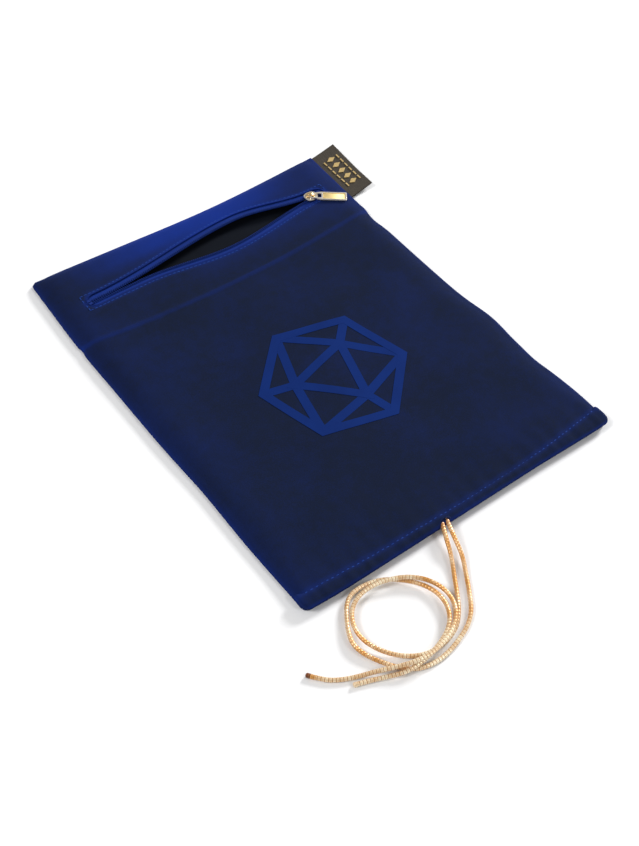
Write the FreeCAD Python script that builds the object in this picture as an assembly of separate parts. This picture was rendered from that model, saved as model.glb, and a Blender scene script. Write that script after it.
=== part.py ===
"""Drawstring dice bag, lying flat and empty on its back panel, with its front zip pocket open.

Frame: X across the bag, Y from the mouth (-Y) to the base seam (+Y), Z up from the surface that
the bag lies on. The origin is at the middle of the back panel's underside. All sizes are in mm.
"""
import FreeCAD, Part
import math
import os

# ---- Driving dimensions ----------------------------------------------------------------------
BAG_WIDTH = 200.0
BAG_LENGTH = 268.0
LEFT_BOW = 2.5            # the left side seam bows out by this much at mid length
RIGHT_BOW = 4.0           # the right side seam is drawn in by this much at mid length
CLOTH = 0.7               # velvet
LINING = 0.4              # pocket lining cloth
SEAM_EDGE = 0.7           # height of the front's turned edge above the back panel
SLOPE_RUN = 10.0          # the front rises from the seam to its full height over this width
YOKE_TOP = 7.7            # top of the pocket part of the front

HEM_DEPTH = 9.5           # mouth edge to topstitch line
HEM_OUTER = 0.45          # outer ply of the drawstring channel
HEM_INNER = 0.3           # inner ply of the drawstring channel
HEM_WALL = 0.6            # fold at the mouth edge, and stitched edge at the other side
HEM_CORNER = 1.2
HEM_BULGE = 0.6           # the channel's ends stand this far outside the side seams
SLOT_HEIGHT = 2.3         # clear height for the cord
SLOT_END = 2.6            # clear width where the cord turns from front to back
SLOT_ROUND = 2.0          # radius of the inner ply where the cord turns
MOUTH_GAP = 4.3           # clear height of the open mouth

YOKE_SEAM_Y = 64.0        # seam between the main front panel and the yoke, at x = 0
YOKE_TILT = -0.4          # degrees that the seam runs off square
POCKET_FLOOR = 1.7        # underside of the pocket lining

CORD = 2.2                # drawstring diameter
EXIT_Y = -BAG_LENGTH / 2 - 0.5
EXIT_LEFT_X = -18.4       # the two cord ends leave one buttonhole side by side
EXIT_RIGHT_X = -15.4

ZIP_Y = 96.0              # closing line of the zip
WINDOW_LEFT = -84.0       # the velvet's cut-out round the zip
WINDOW_RIGHT = 82.0
ZIP_LEFT = -81.5          # last coil turn by the top stops
ZIP_RIGHT = 80.0          # last coil turn by the bottom stop
UPPER_LIP = (-75.0, 22.0, 76.0, 9.8)    # left foot, widest point, right foot, opening of the lip
LOWER_LIP = (-50.0, 10.0, 76.0, -7.0)
COIL_GAP = 0.3            # inner face of a closed coil row to the closing line
COIL_WIDTH = 1.7
COIL_HEIGHT = 1.3
TAPE_WIDTH = 11.0
TAPE = 0.45
TAPE_SEWN = 2.4           # length of tape under the velvet at each end of the window
TAPE_SHOWN = 2.6          # width of tape between the coil and the velvet's edge
SLIDER_X = 71.8           # slider at the open end of the zip
PULL_ANGLE = -35.5        # degrees from +X that the pull tab points
PULL_DROOP = 2.2          # degrees that the pull tab hangs down from level
PULL_LENGTH = 22.5
PULL_WIDTH = 6.8

LABEL_FROM = 87.5
LABEL_TO = 131.0
LABEL_REACH = 117.0       # x of the label's folded edge
LABEL_PLY = 0.6

EMBLEM_CENTRE = (-3.0, -27.0)
EMBLEM_TURN = -45.0       # degrees that the print's upright turns from +Y
EMBLEM_RADIUS = 43.0
EMBLEM_LINE = 5.0
FILM = 0.12               # thickness of the heat-pressed print

THREAD = 0.35
STITCH = 2.1              # length of thread that shows
STITCH_PITCH = 2.9

# ---- Worked-out levels and places --------------------------------------------------------------
HALF_WIDTH = BAG_WIDTH / 2
HALF_LENGTH = BAG_LENGTH / 2
MOUTH_Y = -HALF_LENGTH - 0.5
HEM_REAR_Y = MOUTH_Y + HEM_DEPTH
HEM_RUN = HEM_OUTER + SLOT_HEIGHT + HEM_INNER
MOUTH_TOP = 2 * HEM_RUN + MOUTH_GAP
HEM_END = HALF_WIDTH + HEM_BULGE
TURN_X = HEM_END - HEM_OUTER - SLOT_END / 2
FRONT_CORD_Z = MOUTH_TOP - HEM_OUTER - SLOT_HEIGHT / 2
BACK_CORD_Z = HEM_OUTER + SLOT_HEIGHT / 2
CORD_Y = (MOUTH_Y + HEM_REAR_Y) / 2
TAPE_TOP = YOKE_TOP - CLOTH
TAPE_Z = TAPE_TOP - TAPE
COIL_Z = YOKE_TOP - 0.1 - COIL_HEIGHT
PULL_Z = YOKE_TOP + 1.6   # height of the pull tab's pivot

# Route of each loose drawstring end, from the buttonhole to its bare tip. Both ends lie on the
# surface in two turns beside the mouth; the second turn rides over the first where they cross.
TAIL_A = [
    (EXIT_LEFT_X, EXIT_Y, FRONT_CORD_Z), (EXIT_LEFT_X, -140.4, FRONT_CORD_Z), (-22.6, -148.6, 5.0),
    (-29.0, -157.0, 1.6), (-36.0, -166.5, 1.1), (-41.6, -176.4, 1.1), (-51.5, -184.8, 1.1),
    (-64.5, -186.3, 1.1), (-76.6, -181.2, 1.1), (-84.6, -170.6, 1.1), (-88.8, -156.8, 1.1),
    (-83.8, -144.4, 1.1), (-71.4, -139.6, 1.1), (-58.4, -142.0, 1.1), (-47.6, -150.8, 1.1),
    (-43.2, -162.4, 1.1), (-45.4, -173.2, 1.1), (-52.6, -180.4, 2.6), (-62.2, -183.8, 4.4),
    (-73.0, -185.2, 4.4), (-84.0, -181.4, 4.4), (-95.0, -176.4, 1.6), (-106.4, -172.2, 1.1),
    (-114.4, -167.6, 1.1), (-119.2, -160.6, 1.1),
]
TAIL_B = [
    (EXIT_RIGHT_X, EXIT_Y, FRONT_CORD_Z), (EXIT_RIGHT_X, -140.8, FRONT_CORD_Z), (-17.8, -149.4, 5.2),
    (-22.6, -158.2, 1.6), (-28.6, -167.4, 1.1), (-34.8, -177.8, 1.1), (-45.0, -186.4, 1.1),
    (-57.5, -190.8, 1.1), (-70.8, -190.2, 1.1), (-82.4, -183.0, 1.1), (-90.8, -171.8, 1.1),
    (-94.2, -159.0, 1.1), (-89.4, -146.4, 1.1), (-79.6, -137.6, 1.1), (-67.2, -136.2, 1.1),
    (-54.2, -140.4, 1.1), (-43.6, -149.4, 1.1), (-38.8, -160.0, 2.4), (-39.2, -170.2, 4.4),
    (-43.6, -180.6, 4.4), (-52.6, -187.0, 4.4), (-62.6, -189.4, 4.4), (-73.8, -189.8, 4.4),
    (-84.6, -185.6, 2.2), (-95.0, -180.8, 1.1), (-105.2, -175.4, 1.1),
]


# ---- Helpers -------------------------------------------------------------------------------------
def vec(x, y, z=0.0):
    return FreeCAD.Vector(x, y, z)


def block(x0, x1, y0, y1, z0, z1):
    """A box between two corners."""
    return Part.makeBox(x1 - x0, y1 - y0, z1 - z0, vec(x0, y0, z0))


def rounded_block(half_x, y0, y1, z0, z1, radius):
    """A box centred on x = 0 whose four edges along Y are rounded."""
    box = block(-half_x, half_x, y0, y1, z0, z1)
    return box.makeFillet(radius, [e for e in box.Edges if e.BoundBox.YLength > (y1 - y0) / 2])


def closed_wire(points):
    return Part.makePolygon([vec(*p) for p in points] + [vec(*points[0])])


def slab(edges, low, high):
    """A flat plate from edges drawn at z = 0, between two heights."""
    plate = Part.Face(Part.Wire(Part.__sortEdges__(edges))).extrude(vec(0, 0, high - low))
    plate.translate(vec(0, 0, low))
    return plate


def polygon_slab(points, low, high):
    return slab(closed_wire(points).Edges, low, high)


def line(a, b):
    return Part.LineSegment(vec(*a), vec(*b)).toShape()


def curve(points):
    spline = Part.BSplineCurve()
    spline.interpolate([vec(*p) for p in points])
    return spline.toShape()


def arc(a, b, c):
    return Part.Arc(vec(*a), vec(*b), vec(*c)).toShape()


def spread(start, end, count):
    """Evenly spaced numbers from start to end."""
    return [start + (end - start) * i / (count - 1) for i in range(count)]


def smooth(t):
    t = min(max(t, 0.0), 1.0)
    return t * t * (3 - 2 * t)


def tube(name, points, diameter, bend=0.45):
    """A round tube along straight runs joined by tangent arcs, with its radii and volume printed."""
    stops = [vec(*p) for p in points]
    edges, radii, last = [], [], stops[0]
    for before, corner, after in zip(stops, stops[1:], stops[2:]):
        back, ahead = before - corner, after - corner
        cut = bend * min(back.Length, ahead.Length)
        half_turn = (math.pi - back.getAngle(ahead)) / 2
        radius = cut / math.tan(half_turn)
        radii.append(radius)
        back.normalize()
        ahead.normalize()
        start, end = corner + back * cut, corner + ahead * cut
        middle_way = back + ahead
        middle_way.normalize()
        middle = corner + middle_way * (radius / math.cos(half_turn) - radius)
        edges.append(Part.LineSegment(last, start).toShape())
        edges.append(Part.Arc(start, middle, end).toShape())
        last = end
    edges.append(Part.LineSegment(last, stops[-1]).toShape())
    path = Part.Wire(edges)
    section = Part.Wire(Part.makeCircle(diameter / 2, stops[0], stops[1] - stops[0]))
    solid = path.makePipeShell([section], True, False)
    expected = math.pi * diameter ** 2 / 4 * path.Length
    print(f"{name}: length {path.Length:.1f}, least radius {min(radii):.1f},"
          f" volume {solid.Volume:.1f} of {expected:.1f}")
    print("  radii " + " ".join(f"{r:.1f}" for r in radii))
    return solid


# ---- Outline and front shape ---------------------------------------------------------------------
def left_edge(y):
    return -HALF_WIDTH - LEFT_BOW * (1 - (y / HALF_LENGTH) ** 2)


def right_edge(y):
    return HALF_WIDTH - RIGHT_BOW * (1 - (y / HALF_LENGTH) ** 2)


def front_height(y):
    """Height of the front's top face: level over the yoke, rising towards the mouth."""
    return YOKE_TOP + (MOUTH_TOP - YOKE_TOP) * max(0.0, (YOKE_SEAM_Y - y) / (YOKE_SEAM_Y - HEM_REAR_Y))


def front_section(y, top, inside):
    """Cross-section of the front's volume at y, shrunk by the cloth's thickness where inside is 1."""
    left, right = left_edge(y) + inside * CLOTH, right_edge(y) - inside * CLOTH
    run, rim = SLOPE_RUN, CLOTH + SEAM_EDGE - inside * 0.3
    top -= inside * CLOTH
    return closed_wire([(left, y, CLOTH), (left, y, rim), (left + run, y, top),
                        (right - run, y, top), (right, y, rim), (right, y, CLOTH)])


def front_volume(inside):
    """The front's volume over the back panel: its outer shape, or with inside = 1 its hollow."""
    stations = spread(HEM_REAR_Y, YOKE_SEAM_Y, 5) + [HALF_LENGTH - SLOPE_RUN]
    sections = [front_section(y, front_height(y), inside) for y in stations]
    if inside:
        sections.insert(0, front_section(HEM_REAR_Y - 1, MOUTH_TOP, inside))
    rim_top = CLOTH + SEAM_EDGE + 0.2
    sections.append(front_section(HALF_LENGTH - inside * CLOTH, rim_top + inside * 0.5, inside))
    spans = [Part.makeLoft([a, b], True, True) for a, b in zip(sections, sections[1:])]
    return spans[0].fuse(spans[1:]).removeSplitter()


def beyond_seam():
    """Everything on the yoke's side of the tilted yoke seam."""
    side = block(-HALF_WIDTH * 2, HALF_WIDTH * 2, YOKE_SEAM_Y, HALF_LENGTH * 2, -1, MOUTH_TOP * 2)
    side.rotate(vec(0, YOKE_SEAM_Y), vec(0, 0, 1), YOKE_TILT)
    return side


def lip_offset(lip, x):
    """How far a zip lip stands open at x."""
    left, widest, right, opening = lip
    along = (x - left) / (widest - left) if x < widest else (right - x) / (right - widest)
    return opening * smooth(along)


def lip_curve(lip, x0, x1, offset):
    """A line beside a zip lip, at a steady distance from the lip's inner edge."""
    side = math.copysign(1.0, lip[3])
    return [(x, ZIP_Y + lip_offset(lip, x) + side * offset) for x in spread(x0, x1, 23)]


def lip_strip(lip, x0, x1, near, far, low, high):
    """A strip that follows a zip lip between two distances from its inner edge."""
    inner, outer = lip_curve(lip, x0, x1, near), lip_curve(lip, x0, x1, far)
    edges = [curve(inner), curve(outer), line(inner[0], outer[0]), line(inner[-1], outer[-1])]
    return slab(edges, low, high)


# ---- Cloth pieces --------------------------------------------------------------------------------
def make_back_panel():
    rear, y_mid = HALF_LENGTH, (HALF_LENGTH + HEM_REAR_Y) / 2
    edges = [
        line((left_edge(HEM_REAR_Y), HEM_REAR_Y), (right_edge(HEM_REAR_Y), HEM_REAR_Y)),
        arc((right_edge(HEM_REAR_Y), HEM_REAR_Y), (right_edge(y_mid), y_mid), (right_edge(rear), rear)),
        line((right_edge(rear), rear), (left_edge(rear), rear)),
        arc((left_edge(rear), rear), (left_edge(y_mid), y_mid), (left_edge(HEM_REAR_Y), HEM_REAR_Y)),
    ]
    return slab(edges, 0, CLOTH)


def make_zip_window():
    shown = COIL_GAP + COIL_WIDTH + TAPE_SHOWN
    upper = lip_curve(UPPER_LIP, WINDOW_LEFT, WINDOW_RIGHT, shown)
    lower = lip_curve(LOWER_LIP, WINDOW_LEFT, WINDOW_RIGHT, shown)
    edges = [curve(upper), curve(lower), line(upper[0], lower[0]), line(upper[-1], lower[-1])]
    return slab(edges, YOKE_TOP - 2 * CLOTH, YOKE_TOP + 1)


def make_pocket_lining(hollow, yoke_side):
    """The pocket's back wall, with the upstand that is caught in the yoke seam."""
    sheet = block(-HALF_WIDTH * 2, HALF_WIDTH * 2, 0, HALF_LENGTH, POCKET_FLOOR, POCKET_FLOOR + LINING)
    upstand = block(-HALF_WIDTH * 2, HALF_WIDTH * 2, YOKE_SEAM_Y, YOKE_SEAM_Y + LINING, POCKET_FLOOR,
                    MOUTH_TOP)
    upstand.rotate(vec(0, YOKE_SEAM_Y), vec(0, 0, 1), YOKE_TILT)
    return sheet.fuse(upstand).removeSplitter().common(hollow).common(yoke_side)


def make_channels():
    """The folded hem round the mouth, split into its front and back halves."""
    ring = rounded_block(HEM_END, MOUTH_Y, HEM_REAR_Y, 0, MOUTH_TOP, HEM_CORNER)
    inner_x = TURN_X - SLOT_END / 2
    mouth_x = inner_x - HEM_INNER
    slot_outer = block(-inner_x - SLOT_END, inner_x + SLOT_END, MOUTH_Y + HEM_WALL,
                       HEM_REAR_Y - HEM_WALL, HEM_OUTER, MOUTH_TOP - HEM_OUTER)
    slot_inner = rounded_block(inner_x, MOUTH_Y, HEM_REAR_Y, HEM_RUN - HEM_INNER,
                               HEM_RUN + MOUTH_GAP + HEM_INNER, SLOT_ROUND)
    mouth = rounded_block(mouth_x, MOUTH_Y - 1, HEM_REAR_Y + 1, HEM_RUN, HEM_RUN + MOUTH_GAP,
                          SLOT_ROUND - HEM_INNER)
    ring = ring.cut(slot_outer.cut(slot_inner)).cut(mouth)
    ring = ring.cut(block(*buttonhole_span(), MOUTH_Y - 1, MOUTH_Y + HEM_WALL, *buttonhole_height()))
    upper_half = block(-HEM_END - 1, HEM_END + 1, MOUTH_Y - 1, HEM_REAR_Y + 1, MOUTH_TOP / 2, MOUTH_TOP + 1)
    return ring.common(upper_half), ring.cut(upper_half)


def buttonhole_span():
    return EXIT_LEFT_X - CORD / 2 - 0.3, EXIT_RIGHT_X + CORD / 2 + 0.3


def buttonhole_height():
    return FRONT_CORD_Z - CORD / 2 - 0.1, FRONT_CORD_Z + CORD / 2 + 0.1


def make_label():
    """A folded label with two plies, caught in the right side seam and lifting towards its fold."""
    root_x, seam_x, lift = right_edge(LABEL_FROM) - 2, right_edge(LABEL_FROM) + 1, 2.2
    middle = (seam_x + LABEL_REACH) / 2
    low = [(root_x, CLOTH), (seam_x, CLOTH), (middle, CLOTH + lift * 0.3), (LABEL_REACH, CLOTH + lift)]
    low = [(x, LABEL_FROM, z) for x, z in low]
    high = [(x, y, z + 2 * LABEL_PLY) for x, y, z in low]
    edges = [line(low[0], low[1]), arc(*low[1:]), line(low[3], high[3]), arc(*high[1:]),
             line(high[1], high[0]), line(high[0], low[0])]
    face = Part.Face(Part.Wire(Part.__sortEdges__(edges)))
    return face.extrude(vec(0, LABEL_TO - LABEL_FROM, 0))


# ---- Seams and stitching -------------------------------------------------------------------------
def make_side_overlock(edge, inward, hollow):
    """Overlocked seam allowance lying along the inside of a side seam."""
    width, height = 6.5, 0.8
    ys = (HEM_REAR_Y, (HALF_LENGTH + HEM_REAR_Y) / 2, HALF_LENGTH - CLOTH - width - 0.2)
    outer = [(edge(y) + inward * CLOTH, y) for y in ys]
    inner = [(x + inward * width, y) for x, y in outer]
    strip = slab([arc(*outer), arc(*inner), line(outer[0], inner[0]), line(outer[2], inner[2])],
                 CLOTH, CLOTH + height)
    return strip.common(hollow)


def make_base_overlock(hollow):
    width, height = 6.5, 0.8
    rear = HALF_LENGTH - CLOTH
    strip = block(-HALF_WIDTH, HALF_WIDTH, rear - width, rear, CLOTH, CLOTH + height)
    return strip.common(hollow)


def make_yoke_overlock(hollow, yoke_side):
    """Overlocked allowance under the yoke seam, pressed up against the main panel."""
    width, height = 6.0, 0.8
    span = block(-HALF_WIDTH * 2, HALF_WIDTH * 2, YOKE_SEAM_Y - width, YOKE_SEAM_Y, 0, MOUTH_TOP)
    span.rotate(vec(0, YOKE_SEAM_Y), vec(0, 0, 1), YOKE_TILT)
    lowered = hollow.translated(vec(0, 0, -height))
    keep = block(-HALF_WIDTH + SLOPE_RUN + 4, HALF_WIDTH - RIGHT_BOW - SLOPE_RUN - 4, 0, HALF_LENGTH, 0,
                 MOUTH_TOP)
    return hollow.common(span).common(keep).cut(lowered).cut(yoke_side)


def stitch_row(points, z):
    """Short lengths of thread, one starting at each point and running towards the next."""
    stitches = []
    for (x0, y0), (x1, y1) in zip(points, points[1:]):
        way = math.atan2(y1 - y0, x1 - x0)
        stitch = block(0, STITCH, -THREAD / 2, THREAD / 2, 0, 0.2)
        stitch.rotate(vec(0, 0), vec(0, 0, 1), math.degrees(way))
        stitch.translate(vec(x0, y0, z))
        stitches.append(stitch)
    return stitches


def stitch_points(x0, x1, line_y):
    """Points one stitch pitch apart from x0 to x1 on the line y = line_y(x)."""
    count = round(abs(x1 - x0) / STITCH_PITCH) + 1
    return [(x, line_y(x)) for x in spread(x0, x1, count)]


def make_hem_topstitch(z):
    row_y = HEM_REAR_Y - HEM_WALL / 2
    ends = HEM_END - 6
    return Part.makeCompound(stitch_row(stitch_points(-ends, ends, lambda x: row_y), z))


def make_zip_topstitch():
    """Topstitching round the zip window, a little outside the velvet's edge."""
    margin = 1.6
    offset = COIL_GAP + COIL_WIDTH + TAPE_SHOWN + margin
    left, right = WINDOW_LEFT - margin, WINDOW_RIGHT + margin
    stitches = []
    for lip in (UPPER_LIP, LOWER_LIP):
        side = math.copysign(offset, lip[3])
        stitches += stitch_row(
            stitch_points(left, right, lambda x: ZIP_Y + lip_offset(lip, x) + side), YOKE_TOP)
    for x in (left, right + THREAD):
        rows = spread(ZIP_Y - offset + 1.2, ZIP_Y + offset - 0.4, 5)
        stitches += stitch_row([(x, y) for y in rows], YOKE_TOP)
    return Part.makeCompound(stitches)


def make_buttonhole_stitching():
    """The worked thread edge round the buttonhole, on the outer face of the front channel."""
    (x0, x1), (z0, z1), rim, proud = buttonhole_span(), buttonhole_height(), 0.6, 0.3
    outer = block(x0 - rim, x1 + rim, MOUTH_Y - proud, MOUTH_Y, z0 - rim, z1 + rim * 0.5)
    return outer.cut(block(x0, x1, MOUTH_Y - 1, MOUTH_Y, z0, z1))


def make_emblem():
    """A plain twenty-sided-die figure in line work: hexagon, inner triangle and joining edges."""
    def ring_point(radius, degrees):
        return radius * math.cos(math.radians(degrees)), radius * math.sin(math.radians(degrees))

    def bar(a, b):
        start, end = vec(*a), vec(*b)
        across = (end - start).cross(vec(0, 0, 1)).normalize() * (EMBLEM_LINE / 2)
        corners = [start + across, end + across, end - across, start - across]
        caps = [Part.makeCylinder(EMBLEM_LINE / 2, FILM, spot) for spot in (start, end)]
        return polygon_slab(corners, 0, FILM).fuse(caps)

    hexagon = [ring_point(EMBLEM_RADIUS - EMBLEM_LINE / 2, 90 + 60 * k) for k in range(6)]
    triangle = [ring_point(EMBLEM_RADIUS * 0.52, 90 + 120 * k) for k in range(3)]
    bars = [bar(hexagon[k], hexagon[k - 1]) for k in range(6)]
    bars += [bar(triangle[k], triangle[k - 1]) for k in range(3)]
    for k in range(3):
        bars += [bar(triangle[k], hexagon[(2 * k + step) % 6]) for step in (-1, 0, 1)]
    figure = bars[0].fuse(bars[1:]).removeSplitter()
    rise = math.degrees(math.atan2(YOKE_TOP - MOUTH_TOP, YOKE_SEAM_Y - HEM_REAR_Y))
    figure.rotate(vec(0, 0), vec(0, 0, 1), EMBLEM_TURN)
    figure.rotate(vec(0, 0), vec(1, 0, 0), rise)
    x, y = EMBLEM_CENTRE
    figure.translate(vec(x, y, front_height(y)))
    return figure


# ---- Zip -----------------------------------------------------------------------------------------
def make_tape(lip):
    """The tape, sewn under the velvet all round and a hair's breadth from its coil row."""
    near = COIL_GAP + COIL_WIDTH + 0.05
    far = near + TAPE_WIDTH
    return lip_strip(lip, WINDOW_LEFT - TAPE_SEWN, WINDOW_RIGHT + TAPE_SEWN, near, far, TAPE_Z, TAPE_TOP)


def make_coil(lip):
    return lip_strip(lip, ZIP_LEFT, ZIP_RIGHT, COIL_GAP, COIL_GAP + COIL_WIDTH, COIL_Z, COIL_Z + COIL_HEIGHT)


def make_top_stops():
    """One crimped stop on each side, beyond the last coil turn."""
    stops = []
    for side in (1, -1):
        near, far = sorted((ZIP_Y + side * COIL_GAP, ZIP_Y + side * (COIL_GAP + COIL_WIDTH)))
        stops.append(block(ZIP_LEFT - 2.2, ZIP_LEFT, near, far, COIL_Z, COIL_Z + COIL_HEIGHT))
    return Part.makeCompound(stops)


def make_bottom_stop():
    top, reach = COIL_Z + COIL_HEIGHT, COIL_GAP + COIL_WIDTH
    stop = block(ZIP_RIGHT - 2.4, ZIP_RIGHT - 0.4, ZIP_Y - reach, ZIP_Y + reach, top, top + 0.6)
    long_edges = [e for e in stop.Edges if e.BoundBox.XLength > 1.9 and e.BoundBox.ZMin > top + 0.5]
    return stop.makeFillet(0.4, long_edges)


def make_slider():
    """Two plates joined by a post between the coil rows, with an arched bridge for the pull tab."""
    open_half, shut_half, nose, tail = 3.8, 2.7, -4.6, 4.7
    outline = [
        arc((nose + 1.4, open_half), (nose, 0), (nose + 1.4, -open_half)),
        line((nose + 1.4, -open_half), (0.6, -open_half)),
        arc((0.6, -open_half), (2.6, -open_half + 0.5), (tail, -shut_half)),
        line((tail, -shut_half), (tail, shut_half)),
        arc((tail, shut_half), (2.6, open_half - 0.5), (0.6, open_half)),
        line((0.6, open_half), (nose + 1.4, open_half)),
    ]
    clear, plate = 0.15, 0.8
    top_low, bottom_high = YOKE_TOP + clear, COIL_Z - clear
    body = slab(outline, top_low, top_low + plate)
    body = body.fuse(slab(outline, bottom_high - plate, bottom_high))
    body = body.fuse(block(nose + 0.8, nose + 2.8, -0.4, 0.4, bottom_high - 0.1, top_low + 0.1))
    reach, half, wall, crown_z = 3.4, 1.0, 1.0, PULL_Z + 1.5
    bridge = block(-reach, reach, -half, half, top_low + plate, crown_z)
    bridge = bridge.cut(block(wall - reach, reach - wall, -half, half, top_low + plate, crown_z - 0.75))
    crown = [e for e in bridge.Edges if e.BoundBox.YLength > half and e.BoundBox.ZMin > crown_z - 0.1]
    bridge = bridge.makeFillet(0.7, crown)
    bridge.rotate(vec(0, 0), vec(0, 0, 1), PULL_ANGLE)
    body = body.fuse(bridge).removeSplitter()
    body.translate(vec(SLIDER_X, ZIP_Y))
    return body


def make_pull_tab():
    """A tapered-neck plate with a window by the slider and a sunk panel, on a bar under the bridge."""
    half, arm_half, neck, window_end, bar_radius = PULL_WIDTH / 2, 2.6, 3.2, 5.4, 0.55
    outline = [
        (0, -arm_half), (neck, -arm_half), (window_end + 1.5, -half), (PULL_LENGTH - 0.6, -half),
        (PULL_LENGTH, -half + 0.6), (PULL_LENGTH, half - 0.6), (PULL_LENGTH - 0.6, half),
        (window_end + 1.5, half), (neck, arm_half), (0, arm_half),
    ]
    tab = polygon_slab(outline, -0.45, 0.45)
    thick = block(window_end + 1.5, PULL_LENGTH - 0.6, -half, half, -0.6, 0.6)
    tab = tab.fuse(thick)
    tab = tab.cut(block(-1, window_end, -1.7, 1.7, -1, 1))
    tab = tab.cut(block(window_end + 2.4, PULL_LENGTH - 1.6, -half + 0.8, half - 0.8, 0.3, 1))
    bar = Part.makeCylinder(bar_radius, 2 * arm_half, vec(0, -arm_half, 0), vec(0, 1, 0))
    tab = tab.fuse(bar).removeSplitter()
    tab.rotate(vec(0, 0), vec(0, 1, 0), PULL_DROOP)
    tab.rotate(vec(0, 0), vec(0, 0, 1), PULL_ANGLE)
    tab.translate(vec(SLIDER_X, ZIP_Y, PULL_Z))
    return tab


# ---- Drawstring ----------------------------------------------------------------------------------
def make_channel_cord(name, exit_x, side):
    """Half of the cord inside the channel: from the buttonhole, along the front, round the end and
    back to the middle of the back channel."""
    turn_x = side * TURN_X
    route = [
        (exit_x, EXIT_Y, FRONT_CORD_Z), (exit_x, CORD_Y, FRONT_CORD_Z), (turn_x, CORD_Y, FRONT_CORD_Z),
        (turn_x, CORD_Y, BACK_CORD_Z), (0, CORD_Y, BACK_CORD_Z),
    ]
    return tube(name, route, CORD)


def make_parts():
    outer, hollow, yoke_side = front_volume(0), front_volume(1), beyond_seam()
    front = outer.cut(hollow)
    label = make_label().cut(hollow)
    front_channel, back_channel = make_channels()
    return {
        "back_panel": make_back_panel(),
        "front_main_panel": front.cut(yoke_side),
        "front_yoke": front.common(yoke_side).cut(make_zip_window()).cut(label),
        "pocket_lining": make_pocket_lining(hollow, yoke_side),
        "front_channel": front_channel,
        "back_channel": back_channel,
        "left_seam_overlock": make_side_overlock(left_edge, 1, hollow),
        "right_seam_overlock": make_side_overlock(right_edge, -1, hollow),
        "base_seam_overlock": make_base_overlock(hollow),
        "yoke_seam_overlock": make_yoke_overlock(hollow, yoke_side),
        "hem_topstitch_front": make_hem_topstitch(MOUTH_TOP),
        "hem_topstitch_back": make_hem_topstitch(HEM_RUN),
        "zip_topstitch": make_zip_topstitch(),
        "buttonhole_stitching": make_buttonhole_stitching(),
        "emblem_print": make_emblem(),
        "label": label,
        "zip_tape_upper": make_tape(UPPER_LIP),
        "zip_tape_lower": make_tape(LOWER_LIP),
        "zip_coil_upper": make_coil(UPPER_LIP),
        "zip_coil_lower": make_coil(LOWER_LIP),
        "zip_top_stops": make_top_stops(),
        "zip_bottom_stop": make_bottom_stop(),
        "slider_body": make_slider(),
        "pull_tab": make_pull_tab(),
        "drawstring_left_run": make_channel_cord("drawstring_left_run", EXIT_LEFT_X, -1),
        "drawstring_right_run": make_channel_cord("drawstring_right_run", EXIT_RIGHT_X, 1),
        "drawstring_tail_a": tube("drawstring_tail_a", TAIL_A, CORD),
        "drawstring_tail_b": tube("drawstring_tail_b", TAIL_B, CORD),
    }


os.makedirs("parts", exist_ok=True)
for node, shape in make_parts().items():
    shape.exportStep(f"parts/{node}.step")
    box = shape.optimalBoundingBox(False)
    print(f"{node}: solids {len(shape.Solids)}, valid {shape.isValid()}, volume {shape.Volume:.1f},"
          f" x {box.XMin:.1f} to {box.XMax:.1f}, y {box.YMin:.1f} to {box.YMax:.1f},"
          f" z {box.ZMin:.2f} to {box.ZMax:.2f}")
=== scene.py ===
"""Looks of the drawstring dice bag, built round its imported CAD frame. Sizes are in mm unless said."""

import math

import bpy
import numpy as np
from mathutils import Matrix, Vector


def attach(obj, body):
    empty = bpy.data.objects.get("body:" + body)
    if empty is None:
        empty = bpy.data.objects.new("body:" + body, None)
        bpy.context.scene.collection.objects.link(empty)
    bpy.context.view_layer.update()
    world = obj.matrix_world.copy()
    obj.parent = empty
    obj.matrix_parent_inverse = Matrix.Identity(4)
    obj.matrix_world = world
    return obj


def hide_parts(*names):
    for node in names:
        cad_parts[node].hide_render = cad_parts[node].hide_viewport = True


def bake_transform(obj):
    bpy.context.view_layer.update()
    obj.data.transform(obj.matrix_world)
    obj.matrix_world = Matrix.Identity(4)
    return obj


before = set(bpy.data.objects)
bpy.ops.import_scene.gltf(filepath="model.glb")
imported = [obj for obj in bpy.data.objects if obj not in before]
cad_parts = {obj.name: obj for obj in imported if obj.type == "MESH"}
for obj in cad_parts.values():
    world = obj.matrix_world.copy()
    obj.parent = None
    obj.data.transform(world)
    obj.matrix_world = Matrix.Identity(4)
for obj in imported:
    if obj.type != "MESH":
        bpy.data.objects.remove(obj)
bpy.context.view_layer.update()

MM = 0.001

# ---- Shape of the bag ----
HALF_LENGTH = 134.0
CLOTH, BACK_CLOTH = 0.7, 0.55
YOKE_TOP = 7.7            # height of the pocket part of the front
HEM_TOP = 6.0             # height of the front at the hem's stitch line
RIM = 2.0                 # height of the side and base seams
PILLOW_RUN = 17.0         # the front rises from its seams over this width
CREST_Z = 6.4             # top of the front channel
HEM_SPLIT_Z = 3.05        # where the front channel lies on the back one
FOLD_Y = -136.1           # mouth edge of the front channel
HEM_LEFT, HEM_RIGHT = 101.0, 97.4        # ends of the channels, outwards from the middle
CHANNEL_WALL = 0.45
SPLIT_X = -17.0           # the hem gathers from both sides towards the buttonhole

YOKE_SEAM_Y = 61.0        # at x = 0
SEAM_LAP = 0.2            # from the yoke seam to the edge where the yoke and the panel meet
HEM_LAP = 0.7             # the front panel runs on past the hem's stitch line

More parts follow.
